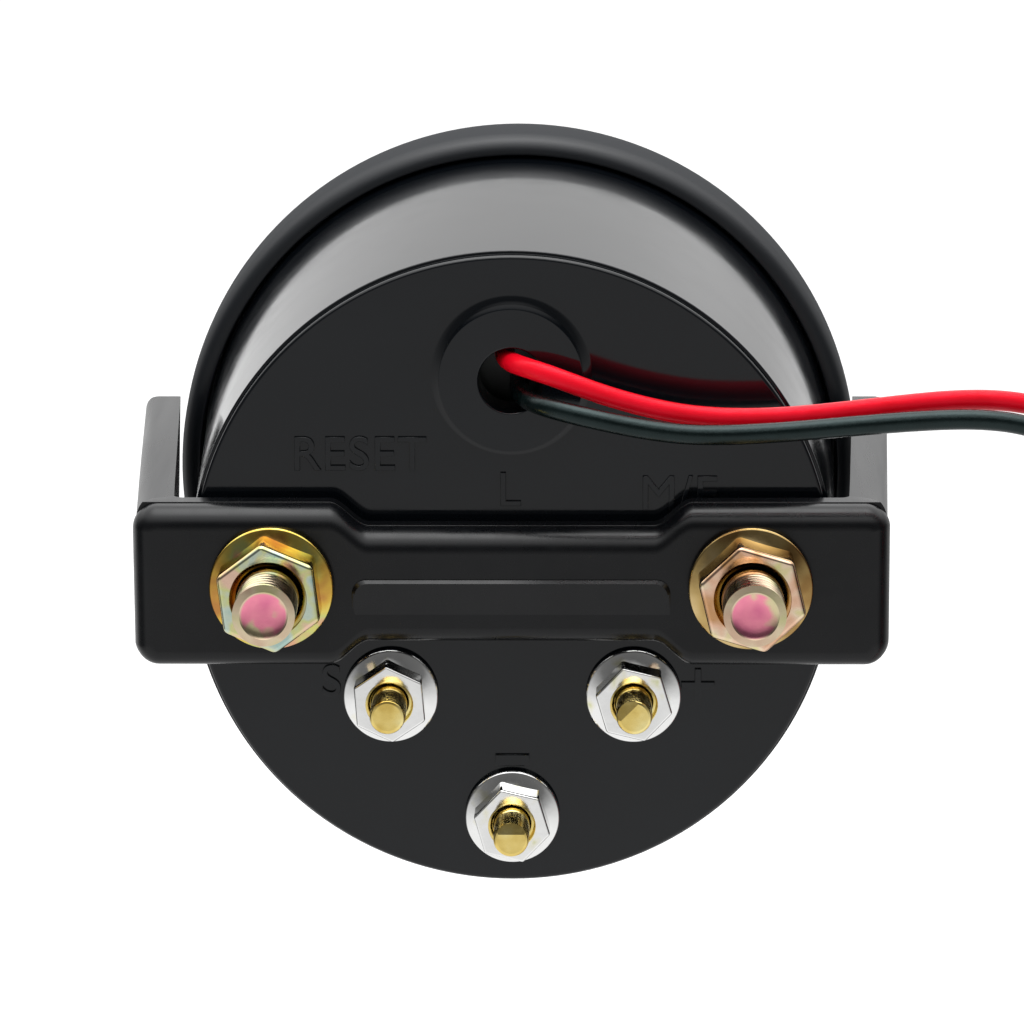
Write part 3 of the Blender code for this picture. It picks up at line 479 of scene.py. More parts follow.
def even_shading(piece, angle=SMOOTH_ANGLE):
    """Smooth the rounded edges and keep the flats flat."""
    pick(piece)
    bpy.ops.object.shade_smooth_by_angle(angle=angle)
    change = piece.modifiers.new("flats", "WEIGHTED_NORMAL")
    change.keep_sharp = True
    bpy.ops.object.modifier_apply(modifier=change.name)


glossy_abs = new_surface("black_abs_polished", (0.004, 0.0045, 0.0055), 0.08, specular=0.4)
mottle(glossy_abs, 90.0, (0.0020, 0.0030, 0.0044), (0.0034, 0.0046, 0.0064))
vary(glossy_abs, noise(glossy_abs, 260.0, 5.0), 0.06, 0.12, "Roughness")
relief(glossy_abs, noise(glossy_abs, 900.0, 2.0), 0.0000015)

housing = lathe(
    "housing_cup",
    arc((STEP_RADIUS - 0.0003, BACK_PLATE + 0.0003), 0.0003, -90, 0, 4)
    + arc((STEP_RADIUS + 0.00008, STEP_FRONT - 0.00008), 0.00008, 180, 90, 2)
    + arc((BODY_RADIUS - 0.00012, STEP_FRONT + 0.00012), 0.00012, -90, 0, 3)
    + [(MOUTH_RADIUS, 0.0), (MOUTH_RADIUS, MOUTH_FRONT), (BORE_RADIUS, MOUTH_FRONT)]
    + [(BORE_RADIUS, FLOOR_INSIDE + 0.0006), (BORE_RADIUS - 0.0006, FLOOR_INSIDE)],
    180, glossy_abs,
)
boss = lathe(
    "boss",
    arc((BOSS_RADIUS - 0.00006, BOSS_BACK + 0.00006), 0.00006, -90, 0, 2)
    + [(BOSS_RADIUS + out, BACK_PLATE - up) for out, up in (
        (0.0, 0.00022), (0.00012, 0.00017), (0.00026, 0.00011), (0.00042, 0.00006), (0.0006, 0.00002)
    )]
    + [(BOSS_RADIUS + 0.0008, BACK_PLATE + 0.00001), (BOSS_RADIUS + 0.0008, BACK_PLATE + 0.0012)],
    96, glossy_abs, z=BOSS_UP,
)
combine(housing, boss, "UNION")
cable_hole = lathe(
    "cable_hole",
    [(CABLE_HOLE_RADIUS + 0.0005, BOSS_BACK - 0.0003), (CABLE_HOLE_RADIUS + 0.00015, BOSS_BACK)]
    + arc((CABLE_HOLE_RADIUS + 0.00015, BOSS_BACK + 0.00015), 0.00015, -90, -180, 3)[1:]
    + [(CABLE_HOLE_RADIUS, FLOOR_INSIDE + 0.001)],
    64, glossy_abs, z=BOSS_UP,
)
combine(housing, cable_hole, "DIFFERENCE")
stud_holes = [(-MOUNT_SIDE, 0.0, MOUNT_HOLE_RADIUS), (MOUNT_SIDE, 0.0, MOUNT_HOLE_RADIUS)]
stud_holes += [(x, z, TERMINAL_HOLE_RADIUS) for x, z in TERMINALS.values()]
for x, z, radius in stud_holes:
    hole_ends = [(radius, BACK_PLATE - 0.001), (radius, FLOOR_INSIDE + 0.001)]
    hole = lathe("hole", hole_ends, 32, glossy_abs, x, z)
    combine(housing, hole, "DIFFERENCE")
even_shading(housing)
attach(housing, "gauge")
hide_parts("housing")

# Moulded marks on the back plate, which name the terminals and the lamp leads. They stand about
# 0.25 mm proud and have the case's own polish. Each row: use, sign, x, z and size of the letters.
MARK_MIDDLE = BACK_PLATE - 0.00012
MARK_HALF_DEPTH = 0.00014
MINUS_TALLER = 2.4
MARKS = [
    ("reset", "RESET", -0.0122, 0.0096, 0.0039), ("lamp", "L", -0.0002, 0.0067, 0.0039),
    ("unit", "M/E", 0.0134, 0.0064, 0.0039), ("signal", "S", -0.0146, -0.0091, 0.0037),
    ("plus", "+", 0.0150, -0.0096, 0.0056), ("minus", "\u2013", 0.0000, -0.0150, 0.0052),
]


def lettering(name, words, size, place, turn, half_depth, material, stretch=1.0, **settings):
    """Words made mesh, centred on their place and standing out by half_depth on either side of it."""
    bpy.ops.object.select_all(action="DESELECT")
    bpy.ops.object.text_add(location=place, rotation=turn)
    text = bpy.context.object
    text.data.body = words
    text.data.size = size
    text.data.align_x = "CENTER"
    text.data.align_y = "CENTER"
    text.data.extrude = half_depth
    for setting, value in settings.items():
        setattr(text.data, setting, value)
    bpy.ops.object.convert(target="MESH")
    text = bpy.context.object
    text.name = name
    text.scale = (1.0, stretch, 1.0)
    bpy.ops.object.transform_apply()
    text.data.materials.clear()
    text.data.materials.append(material)
    return text


for use, letters, x, z, size in MARKS:
    mark = lettering(
        f"mark_{use}", letters, size, (x, MARK_MIDDLE, z), (pi / 2, 0.0, 0.0), MARK_HALF_DEPTH,
        glossy_abs, MINUS_TALLER if use == "minus" else 1.0,
        space_character=1.06, bevel_depth=0.00003, bevel_resolution=1,
    )
    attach(mark, "gauge")

# Bezel. A round rim moulded in black ABS, finely textured outside and polished on its rolled back
# edge, sits on the cup's mouth with a dark joint between. The back edge seats on the panel.
BEZEL_RADIUS = 0.0301
BEZEL_BORE = 0.0282
BEZEL_ROLL = 0.00165
BEZEL_ROLL_DEEP = 0.0018
BEZEL_SHOULDER = 0.0030
BEZEL_CREST = 0.0096
LIP_BACK = 0.0080
WINDOW_RADIUS = 0.0243
POLISH_ENDS = 0.0006
TEXTURE_STARTS = 0.0017
satin_abs = new_surface("black_abs_satin", (0.006, 0.0075, 0.010), 0.80, specular=0.42)
satin_abs.node_tree.nodes["Principled BSDF"].distribution = "GGX"
mottle(satin_abs, 120.0, (0.005, 0.0065, 0.009), (0.007, 0.0085, 0.011))
space = satin_abs.node_tree.nodes.new("ShaderNodeTexCoord")
place = satin_abs.node_tree.nodes.new("ShaderNodeSeparateXYZ")
satin_abs.node_tree.links.new(space.outputs["Object"], place.inputs["Vector"])
vary(satin_abs, place.outputs["Y"], 0.40, 0.84, "Roughness", POLISH_ENDS, TEXTURE_STARTS)
relief(satin_abs, noise(satin_abs, 5000.0, 2.0), 0.000006)
bezel = lathe(
    "bezel_ring",
    arc((BEZEL_BORE + 0.0001, 0.0001), 0.0001, 180, 270, 3)
    + arc((BEZEL_BORE + 0.0001, BEZEL_ROLL_DEEP), BEZEL_ROLL, -90, -4, 20, BEZEL_ROLL_DEEP / BEZEL_ROLL)
    + [(BEZEL_RADIUS, 0.0050)]
    + arc((BEZEL_RADIUS - BEZEL_SHOULDER, BEZEL_CREST - BEZEL_SHOULDER), BEZEL_SHOULDER, 0, 90, 10)
    + [(WINDOW_RADIUS + 0.0006, 0.0087), (WINDOW_RADIUS, 0.0084), (WINDOW_RADIUS, LIP_BACK)]
    + [(BEZEL_BORE, LIP_BACK)],
    180, satin_abs, ring=True,
)
even_shading(bezel)
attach(bezel, "gauge")
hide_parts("bezel")

# Bracket. A U moulded in glass filled nylon: a crossbar with wide ends, a narrow middle and a raised
# pad, and two arms that splay towards the panel. The mould parts along the back of the bar's rounded
# lip, where a fine step shows. Two M5 flange nuts hold it.
BAR_OUTSIDE = -0.0444
BAR_INSIDE = -0.0406
PARTING = -0.0424
HALF_WIDTH = 0.03015
HALF_HEIGHT = 0.0065
BELOW_AXIS = 0.00018
WAIST_TOP = 0.0046
WAIST_BOTTOM = 0.00455
WAIST_HALF = 0.0113
SHOULDER = 0.0032
LIP_ROUND = 0.0019
LIP_LOWER_ROUND = 0.0013
LIP_CORNER = 0.0020
ABOVE_LIP = 0.00008
SHORT_OF_LIP = 0.0004
BAR_EDGE = 0.00006
CORNER_OUTSIDE = 0.0006
CORNER_INSIDE = 0.0008
ARM_THICKNESS = 0.00325
ARM_ROUND = 0.00115
REAR_ROUND = 0.00185
ARM_DRAFT = 0.045
SPLAY_LEFT = radians(4.0)
SPLAY_RIGHT = radians(3.5)
TIP = -0.0004
TIP_RISE = 0.00065


def loft(name, rings, material):
    """A piece drawn out from ring to ring: each ring is extruded and its points are set in place."""
    bpy.ops.object.select_all(action="DESELECT")
    bpy.ops.mesh.primitive_circle_add(vertices=len(rings[0]), radius=0.01, fill_type="NGON")
    piece = bpy.context.object
    piece.name = name
    for vertex, point in zip(piece.data.vertices, rings[0]):
        vertex.co = point
    bpy.ops.object.mode_set(mode="EDIT")
    bpy.ops.mesh.select_all(action="SELECT")
    for before, ring in zip(rings, rings[1:]):
        bpy.ops.mesh.extrude_region_move()
        shape = bmesh.from_edit_mesh(piece.data)
        for vertex in shape.verts:
            if vertex.select:
                nearest = min(range(len(ring)), key=lambda spot: (vertex.co - Vector(before[spot])).length)
                vertex.co = ring[nearest]
        bmesh.update_edit_mesh(piece.data)
    bpy.ops.mesh.select_all(action="SELECT")
    bpy.ops.mesh.remove_doubles(threshold=0.000001)
    bpy.ops.mesh.normals_make_consistent(inside=False)
    bpy.ops.object.mode_set(mode="OBJECT")
    piece.data.materials.append(material)
    return piece


def arm_ring(outer, inner, top, bottom, edge, trim=0.0):
    """One ring of the bar's rear and the arms: the outer edges rounded by edge, the inner face drafted."""
    thick = hypot(outer[0] - inner[0], outer[1] - inner[1])
    upper = [(edge - edge * cos(radians(a)), top - edge + edge * sin(radians(a))) for a in range(0, 91, 9)]
    upper += [(thick - 0.0002, top), (thick - 0.00006, top - 0.00006), (thick, top - 0.0002)]
    lower = [(thick, 0.0002 - bottom), (thick - 0.00006, 0.00006 - bottom), (thick - 0.0002, -bottom)]
    lower += [
        (edge - edge * sin(radians(a)), edge - edge * cos(radians(a)) - bottom) for a in range(0, 91, 15)
    ]
    ring = []
    for across, height in upper + lower:
        across -= max(across - thick / 2, 0.0) / (thick / 2) * ARM_DRAFT * (top - height)
        share = min(max(across, trim), thick - trim) / thick
        x = outer[0] + (inner[0] - outer[0]) * share
        y = outer[1] + (inner[1] - outer[1]) * share
        ring.append((x, y, min(max(height, trim - bottom), top - trim) - BELOW_AXIS))
    return ring


def waist(x, narrow):
    """Half height of the bar at x: narrow in the middle, easing out to the full height."""
    along = min(max((abs(x) - WAIST_HALF) / SHOULDER, 0.0), 1.0)
    return narrow + (HALF_HEIGHT - narrow) * along * along * (3 - 2 * along)


def side_rings(splay):
    """The rings of one side, from the bar's middle out to the arm's tip."""
    base_apex = HALF_WIDTH - 0.00022
    inner_apex = base_apex + (-ARM_THICKNESS + (BAR_INSIDE - PARTING) * sin(splay)) / cos(splay)
    corner_turn = pi / 2 - splay
    outer_centre = (base_apex - CORNER_OUTSIDE * tan(corner_turn / 2), PARTING + CORNER_OUTSIDE)
    inner_centre = (inner_apex - CORNER_INSIDE * tan(corner_turn / 2), BAR_INSIDE + CORNER_INSIDE)
    top, bottom = HALF_HEIGHT + ABOVE_LIP, HALF_HEIGHT - SHORT_OF_LIP
    rings = []
    for step in range(25):
        x = WAIST_HALF * 0.9 + (SHOULDER + WAIST_HALF * 0.1) * step / 24
        high, deep = waist(x, WAIST_TOP) + ABOVE_LIP, waist(x, WAIST_BOTTOM) - SHORT_OF_LIP
        rings.append(arm_ring((x, PARTING), (x, BAR_INSIDE), high, deep, BAR_EDGE))
    for step, (outer, inner) in enumerate(zip(
        arc(outer_centre, CORNER_OUTSIDE, -90, -3.6, 8), arc(inner_centre, CORNER_INSIDE, -90, -3.6, 8)
    )):
        rings.append(arm_ring(outer, inner, top, bottom, BAR_EDGE + (REAR_ROUND - BAR_EDGE) * step / 8))
    for share, trim, edge in (
        (0.12, 0.0, 0.00160), (0.25, 0.0, 0.00135), (0.5, 0.0, ARM_ROUND), (0.75, 0.0, ARM_ROUND),
        (0.993, 0.0, ARM_ROUND), (0.998, 0.00009, ARM_ROUND), (1.0, 0.0003, ARM_ROUND),
    ):
        forward = BAR_INSIDE + CORNER_INSIDE + (TIP - BAR_INSIDE - CORNER_INSIDE) * share
        outer = (base_apex + (forward - PARTING) * tan(splay), forward)
        inner = (inner_apex + (forward - BAR_INSIDE) * tan(splay), forward)
        rise = TIP_RISE * share
        low = bottom + SHORT_OF_LIP * share - rise
        rings.append(arm_ring(outer, inner, top + rise * 0.8, low, edge, trim))
    return rings


nylon = new_surface("black_nylon", (0.003, 0.0034, 0.0044), 0.27, specular=0.31)
mottle(nylon, 150.0, (0.0024, 0.0028, 0.0038), (0.0040, 0.0044, 0.0054))
flow = noise(nylon, 320.0, 5.0, (1.6, 0.10, 1.6))
vary(nylon, flow, 0.23, 0.32, "Roughness")
relief(nylon, flow, 0.0000022)

right_side = side_rings(SPLAY_RIGHT)
left_side = [[(-x, y, z) for x, y, z in ring] for ring in side_rings(SPLAY_LEFT)[::-1]]
bracket = loft("bracket_arms", left_side + right_side, nylon)


def lip_corner(side, up, in_x, in_z, turns):
    """The lip's rounded corner on one side, above or below, drawn in by in_x and in_z."""
    middle_x, middle_z = HALF_WIDTH - LIP_CORNER, HALF_HEIGHT - LIP_CORNER
    return [
        (
            side * (middle_x + (LIP_CORNER - in_x) * sin(radians(a))),
            up * (middle_z + (LIP_CORNER - in_z) * cos(radians(a))),
        ) for a in turns
    ]


def lip_inset(rounding, depth):
    """How far the lip's rounded back edge lies inside its outline, at a depth from its back."""
    return rounding - (rounding ** 2 - max(rounding - depth, 0.0) ** 2) ** 0.5


wide_from, wide_to = HALF_WIDTH - LIP_CORNER, WAIST_HALF + SHOULDER
spots = [-wide_from + (wide_from - wide_to) * step / 4 for step in range(4)]
spots += [-WAIST_HALF - SHOULDER + SHOULDER * step / 12 for step in range(13)]
spots += [-x for x in spots[::-1]]
from_vertical, to_vertical = range(9, 90, 9), range(90, 0, -9)
lip_depths = [(PARTING + BAR_EDGE, BAR_EDGE), (PARTING, 0.0)]
lip_depths += [
    (BAR_OUTSIDE + LIP_ROUND * (1 - sin(radians(a))), 0.0) for a in (12, 24, 36, 47, 57, 66, 74, 81, 90)
]
lip_rings = []
for y, chamfer in lip_depths:
    upper = lip_inset(LIP_ROUND, y - BAR_OUTSIDE) + chamfer
    lower = lip_inset(LIP_LOWER_ROUND, y - BAR_OUTSIDE) + chamfer
    ends = upper * 0.88
    ring = [(x, waist(x, WAIST_TOP) - upper) for x in spots]
    ring += lip_corner(1, 1, ends, upper, from_vertical)
    ring += lip_corner(1, -1, ends, lower, to_vertical)
    ring += [(x, lower - waist(x, WAIST_BOTTOM)) for x in spots[::-1]]
    ring += lip_corner(-1, -1, ends, lower, from_vertical)
    ring += lip_corner(-1, 1, ends, upper, to_vertical)
    lip_rings.append([(x, y, z - BELOW_AXIS) for x, z in ring])
lip = loft("bracket_lip", lip_rings, nylon)

PAD_HALF = 0.01265
PAD_CORNER = 0.0011
PAD_TOP = 0.0005
PAD_BOTTOM = -0.0026
pad_outline = (
    arc((PAD_HALF - PAD_CORNER, PAD_TOP - PAD_CORNER), PAD_CORNER, 0, 90, 8)
    + arc((PAD_CORNER - PAD_HALF, PAD_TOP - PAD_CORNER), PAD_CORNER, 90, 180, 8)
    + [(-PAD_HALF, PAD_BOTTOM), (PAD_HALF, PAD_BOTTOM)]
)
pad_rings = []
for height, grow in ((-0.0012, 0.0), (0.00012, 0.0), (0.0004, 0.00023)):
    ring = []
    for x, z in pad_outline:
        fall = min(max((z - PAD_BOTTOM) / (PAD_TOP - PAD_BOTTOM), 0.0), 1.0)
        lift = height if height < 0 else height * fall - 0.00004 * (1 - fall)
        ring.append((x - grow * (1.0 if x > 0 else -1.0), BAR_OUTSIDE - lift, z - grow * fall))
    pad_rings.append(ring)
pad = loft("bracket_pad", pad_rings, nylon)
for side in (-1, 1):
    for part in (bracket, lip):
        hole_ends = [(MOUNT_HOLE_RADIUS, BAR_OUTSIDE - 0.001), (MOUNT_HOLE_RADIUS, BAR_INSIDE + 0.001)]
        hole = lathe("hole", hole_ends, 32, nylon, side * MOUNT_SIDE)
        combine(part, hole, "DIFFERENCE")
for part, angle in ((bracket, 40.0), (lip, 40.0), (pad, 30.0)):
    even_shading(part, radians(angle))
join("bracket_u", bracket, lip, pad)
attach(bracket, "gauge")
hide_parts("bracket")

# Studs. Steel M5 studs, zinc plated and yellow passivated, carry the bracket; M3 brass studs are the
# terminals. Their threads are rolled, their ends are sheared and turned over, and their heads and
# solder pins are inside the cup.
STUD_SEAT = -0.0367


def thread_stud(name, x, z, radius, pitch, depth, tip, start, head, turned, dish, sides, material):
    """A stud along Y: a dished end, a helical thread from y = tip to y = start, and a round head."""
    rings = 12 * round((start - tip) / pitch)
    face = radius - turned
    shares = (0.2, 0.5, 0.7, 0.8, 0.88, 0.93, 0.97, 1.0)
    outline = [(face * share, tip + dish * (1 - share ** 5)) for share in shares]
    outline += [(radius, tip + (start - tip) * step / rings) for step in range(1, rings + 1)]
    outline += [(radius, STUD_SEAT), (head[0], STUD_SEAT), (head[0], head[1])]
    stud = lathe(name, outline, sides, material, x, z)
    for vertex in stud.data.vertices:
        across, up, y = vertex.co.x - x, vertex.co.z - z, vertex.co.y
        away = hypot(across, up)
        if y > start or y <= tip + dish or away > radius * 1.01 or away < face * 1.001:
            continue
        turn = y / pitch + Vector((across, up)).angle_signed(Vector((1.0, 0.0))) / (2 * pi)
        groove = depth * (0.5 - 0.5 * cos(2 * pi * turn)) * min((start - y) / pitch, 1.0)
        reach = min((y - tip) / turned, 1.0)
        limit = face + turned * (1 - (1 - reach) ** 2) ** 0.5
        wanted = min(radius - groove, limit)
        vertex.co.x = x + across * wanted / away
        vertex.co.z = z + up * wanted / away
    pick(stud)
    bpy.ops.object.shade_smooth_by_angle(angle=radians(50.0))
    return stud


def plated(name, stops, roughness, scale):
    """Bright metal with a mottled passivated skin."""
    skin = new_surface(name, stops[0][1], roughness, metallic=1.0)
    colours(skin, noise(skin, scale, 2.0), stops)
    vary(skin, noise(skin, scale * 6, 4.0), roughness * 0.75, roughness * 1.35, "Roughness")
    relief(skin, noise(skin, 1800.0, 3.0), 0.000005)
    return skin


def two_tone(material, centre, near, far, stops, scale):
    """Colour what lies within near to far of the centre, on either side of X = 0, with stops of its own."""
    tree = material.node_tree
    shader = tree.nodes["Principled BSDF"]
    rest = shader.inputs["Base Color"].links[0].from_socket
    colours(material, noise(material, scale, 2.0), stops)
    spot = shader.inputs["Base Color"].links[0].from_socket
    space = tree.nodes.new("ShaderNodeTexCoord")
    folded = tree.nodes.new("ShaderNodeVectorMath")
    folded.operation = "ABSOLUTE"
    tree.links.new(space.outputs["Object"], folded.inputs[0])
    away = tree.nodes.new("ShaderNodeVectorMath")
    away.operation = "DISTANCE"
    away.inputs[1].default_value = centre
    tree.links.new(folded.outputs["Vector"], away.inputs[0])
    fade = tree.nodes.new("ShaderNodeMapRange")
    fade.inputs["From Min"].default_value = near
    fade.inputs["From Max"].default_value = far
    tree.links.new(away.outputs["Value"], fade.inputs["Value"])
    mix = tree.nodes.new("ShaderNodeMix")
    mix.data_type = "RGBA"
    tree.links.new(fade.outputs["Result"], mix.inputs["Factor"])
    tree.links.new(spot, mix.inputs["A"])
    tree.links.new(rest, mix.inputs["B"])
    tree.links.new(mix.outputs["Result"], shader.inputs["Base Color"])


stud_zinc = plated(
    "zinc_stud",
    [(0.34, (0.60, 0.42, 0.30)), (0.50, (0.70, 0.58, 0.40)), (0.64, (0.60, 0.57, 0.30))],
    0.15, 380.0,
)
two_tone(
    stud_zinc, (MOUNT_SIDE, 0.0545, 0.0), 0.00168, 0.00186,
    [(0.30, (0.78, 0.20, 0.34)), (0.54, (0.92, 0.30, 0.40)), (0.64, (0.70, 0.60, 0.36))], 420.0,
)
brass = plated(
    "brass", [(0.30, (0.70, 0.50, 0.13)), (0.50, (0.86, 0.66, 0.22)), (0.70, (0.94, 0.80, 0.36))], 0.17, 500.0
)
M5_THREAD = {
    "radius": 0.00244, "pitch": 0.0008, "depth": 0.00011, "tip": -0.0546, "start": -0.0446,
    "head": (0.0042, -0.0347), "turned": 0.00055, "dish": 0.00024, "sides": 72,
}
M3_THREAD = {
    "radius": 0.00143, "pitch": 0.0005, "depth": 0.00010, "tip": -0.0470, "start": -0.0397,
    "head": (0.0026, -0.0351), "turned": 0.00030, "dish": 0.0, "sides": 60,
}
for name, side in (("left", -1), ("right", 1)):
    stud = thread_stud(
        f"mount_stud_{name}_thread", side * MOUNT_SIDE, 0.0, material=stud_zinc, **M5_THREAD
    )
    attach(stud, "gauge")
    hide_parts(f"mount_stud_{name}")
# The terminal studs were nipped off at a slant, each its own way: where the cut's middle lies off the
# stud's axis, to the right and up, and how far the cut leans to the right and up.
NIPPED = {
    "signal": (0.0002, 0.0012, 0.05, 0.18), "plus": (-0.0004, 0.0004, -0.16, 0.16),
    "minus": (0.0, 0.00045, 0.0, 0.24),
}
CUTTER = 0.006
for name, (x, z) in TERMINALS.items():
    stud = thread_stud(f"terminal_stud_{name}_thread", x, z, material=brass, **M3_THREAD)
    right, up, lean_x, lean_z = NIPPED[name]
    out = Vector((lean_x, -1.0, lean_z)).normalized()
    bpy.ops.object.select_all(action="DESELECT")
    bpy.ops.mesh.primitive_cube_add(
        size=CUTTER, location=Vector((x + right, M3_THREAD["tip"], z + up)) + out * CUTTER / 2,
        rotation=out.to_track_quat("Z", "Y").to_euler(),
    )
    combine(stud, bpy.context.object, "DIFFERENCE")
    bpy.ops.object.shade_smooth_by_angle(angle=radians(12.0 if name != "signal" else 50.0))
    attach(stud, "gauge")
    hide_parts(f"terminal_stud_{name}")

# Flange nuts. Cold formed hexagons with rolled edges stand on coned flanges, bored and countersunk.
# The M5 pair is zinc plated and yellow passivated, the M3 set is bright nickel.
M5_NUT = {
    "seat": -0.0447, "flats": 0.0077, "flange": 0.00494, "height": 0.0045, "rim": 0.00075, "bore": 0.00260,
    "mouth": 0.00300, "edge": 0.00038,
}
M3_NUT = {
    "seat": -0.0398, "flats": 0.0055, "flange": 0.00384, "height": 0.0032, "rim": 0.00055, "bore": 0.00153,
    "mouth": 0.00186, "edge": 0.00018,
}


def flange_nut(name, x, z, seat, turn, flats, flange, height, rim, bore, mouth, edge, material):
    """A hexagon with rolled edges, joined to its flange, bored and countersunk."""
    corner = flats / 2 / cos(pi / 6)
    top = seat - height
    bpy.ops.object.select_all(action="DESELECT")
    bpy.ops.mesh.primitive_cylinder_add(
        vertices=6, radius=corner, depth=height,
        location=(x, seat - height / 2, z), rotation=(pi / 2, turn, 0.0),
    )
    nut = bpy.context.object
    nut.name = name
    bpy.ops.object.transform_apply()
    nut.data.materials.append(material)
    change = nut.modifiers.new("rolled_edges", "BEVEL")
    change.width = edge
    change.segments = 4
    bpy.ops.object.modifier_apply(modifier=change.name)
    skirt = lathe(
        "skirt",
        [(flange - 0.00025, seat), (flange, seat - 0.0002), (flange, seat - rim + 0.00022)]
        + arc((flange - 0.00022, seat - rim + 0.00022), 0.00022, 0, -90, 4)[1:]
        + [(flats / 2 * 0.9, seat - rim - (flange - flats / 2 * 0.9) * tan(radians(20.0)))],
        96, material, x, z,
    )
    combine(nut, skirt, "UNION")
    tool = lathe(
        "bore",
        [(bore, seat + 0.001), (bore, top + (mouth - bore) * 1.5), (mouth, top + 0.00006)]
        + [(mouth + 0.00006, top), (mouth + 0.0006, top - 0.0005)],
        64, material, x, z,
    )
    combine(nut, tool, "DIFFERENCE")
    even_shading(nut, radians(28.0))
    return nut


# The hexagons' outer faces have tints of their own. A sphere about FLAT_FROM, so large that it is nearly
# flat there, takes in those faces alone.
FLAT_FROM = (MOUNT_SIDE, 0.2492, 0.0)
FLAT_NEAR = 0.2001
FLAT_FAR = 0.2004
zinc_left = plated(
    "zinc_yellow_left",
    [
        (0.34, (0.52, 0.24, 0.07)), (0.44, (0.70, 0.44, 0.08)), (0.53, (0.78, 0.62, 0.14)),
        (0.61, (0.62, 0.64, 0.22)), (0.70, (0.74, 0.42, 0.26)),
    ],
    0.13, 300.0,
)
two_tone(
    zinc_left, FLAT_FROM, FLAT_NEAR, FLAT_FAR,
    [
        (0.36, (0.44, 0.60, 0.54)), (0.46, (0.60, 0.68, 0.56)), (0.53, (0.66, 0.68, 0.30)),
        (0.62, (0.82, 0.56, 0.42)),
    ],
    420.0,
)
zinc_right = plated(
    "zinc_yellow_right",
    [(0.34, (0.34, 0.20, 0.07)), (0.50, (0.54, 0.38, 0.15)), (0.66, (0.72, 0.54, 0.27))],
    0.13, 300.0,
)
two_tone(
    zinc_right, FLAT_FROM, FLAT_NEAR, FLAT_FAR,
    [
        (0.34, (0.62, 0.34, 0.16)), (0.46, (0.84, 0.54, 0.38)), (0.56, (0.88, 0.70, 0.50)),
        (0.66, (0.74, 0.68, 0.32)),
    ],
    420.0,
)
nickel = plated(
    "nickel",
    [
        (0.30, (0.88, 0.88, 0.87)), (0.60, (0.93, 0.93, 0.92)), (0.70, (0.90, 0.88, 0.74)),
        (0.78, (0.70, 0.72, 0.34)),
    ],
    0.09, 520.0,
)
for name, side, degrees, skin in (("left", -1, -6.9, zinc_left), ("right", 1, -13.5, zinc_right)):
    nut = flange_nut(
        f"mount_nut_{name}_hex", side * MOUNT_SIDE, 0.0, turn=radians(degrees), material=skin, **M5_NUT
    )
    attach(nut, "gauge")
    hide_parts(f"mount_nut_{name}")
for name, degrees in (("signal", -4.5), ("plus", -16.5), ("minus", -16.5)):
    x, z = TERMINALS[name]
    nut = flange_nut(
        f"terminal_nut_{name}_hex", x, z, turn=radians(degrees), material=nickel, **M3_NUT
    )
    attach(nut, "gauge")
    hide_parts(f"terminal_nut_{name}")

# Lens. A disc of clear glass with a ground edge lies on a ring of black rubber, and the bezel's lip
# holds both.
clear_glass = new_surface("clear_glass", (1.0, 1.0, 1.0), 0.0)
set_shader(clear_glass, "Transmission Weight", 1.0)
set_shader(clear_glass, "IOR", 1.5)
vary(clear_glass, noise(clear_glass, 60.0, 4.0), 0.0, 0.02, "Roughness")
LENS_RADIUS = 0.0279
LENS_BACK = 0.0057
LENS_FRONT = 0.0077
lens = lathe(
    "lens_disc",
    [(LENS_RADIUS - 0.00025, LENS_BACK), (LENS_RADIUS, LENS_BACK + 0.00025)]
    + [(LENS_RADIUS, LENS_FRONT - 0.00025), (LENS_RADIUS - 0.00025, LENS_FRONT)],
    144, clear_glass,
)
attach(lens, "gauge")
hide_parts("lens")
rubber = new_surface("black_rubber", (0.018, 0.018, 0.018), 0.75, specular=0.3)
mottle(rubber, 300.0, (0.013, 0.013, 0.013), (0.024, 0.024, 0.024))
relief(rubber, noise(rubber, 3000.0, 4.0), 0.00001)
gasket = lathe(
    "lens_gasket_ring",
    arc((0.0251, 0.0050), 0.0004, 270, 90, 8) + arc((0.0275, 0.0050), 0.0004, 90, -90, 8),
    144, rubber, ring=True,
)
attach(gasket, "gauge")
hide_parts("lens_gasket")

# Trim ring. A satin black cone, moulded in ABS with fine steps, leads the eye down from the lens to
# the dial. It slides into the cup's bore and stands on the dial's edge.
trim_steps = [(0.0233, 0.0054), (0.0232, 0.0052)]
for step in range(1, 9):
    radius, depth = 0.0232 - 0.00014 * step, 0.0052 - 0.00055 * step
    trim_steps += [(radius + 0.00010, depth + 0.00018), (radius, depth)]
trim = lathe(
    "trim_cone",
    [(0.0239, 0.0002), (0.0239, 0.0054)] + trim_steps + [(0.0219, 0.0006), (0.0219, 0.0002)],
    144, satin_abs, ring=True,
)
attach(trim, "gauge")
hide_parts("trim_ring")

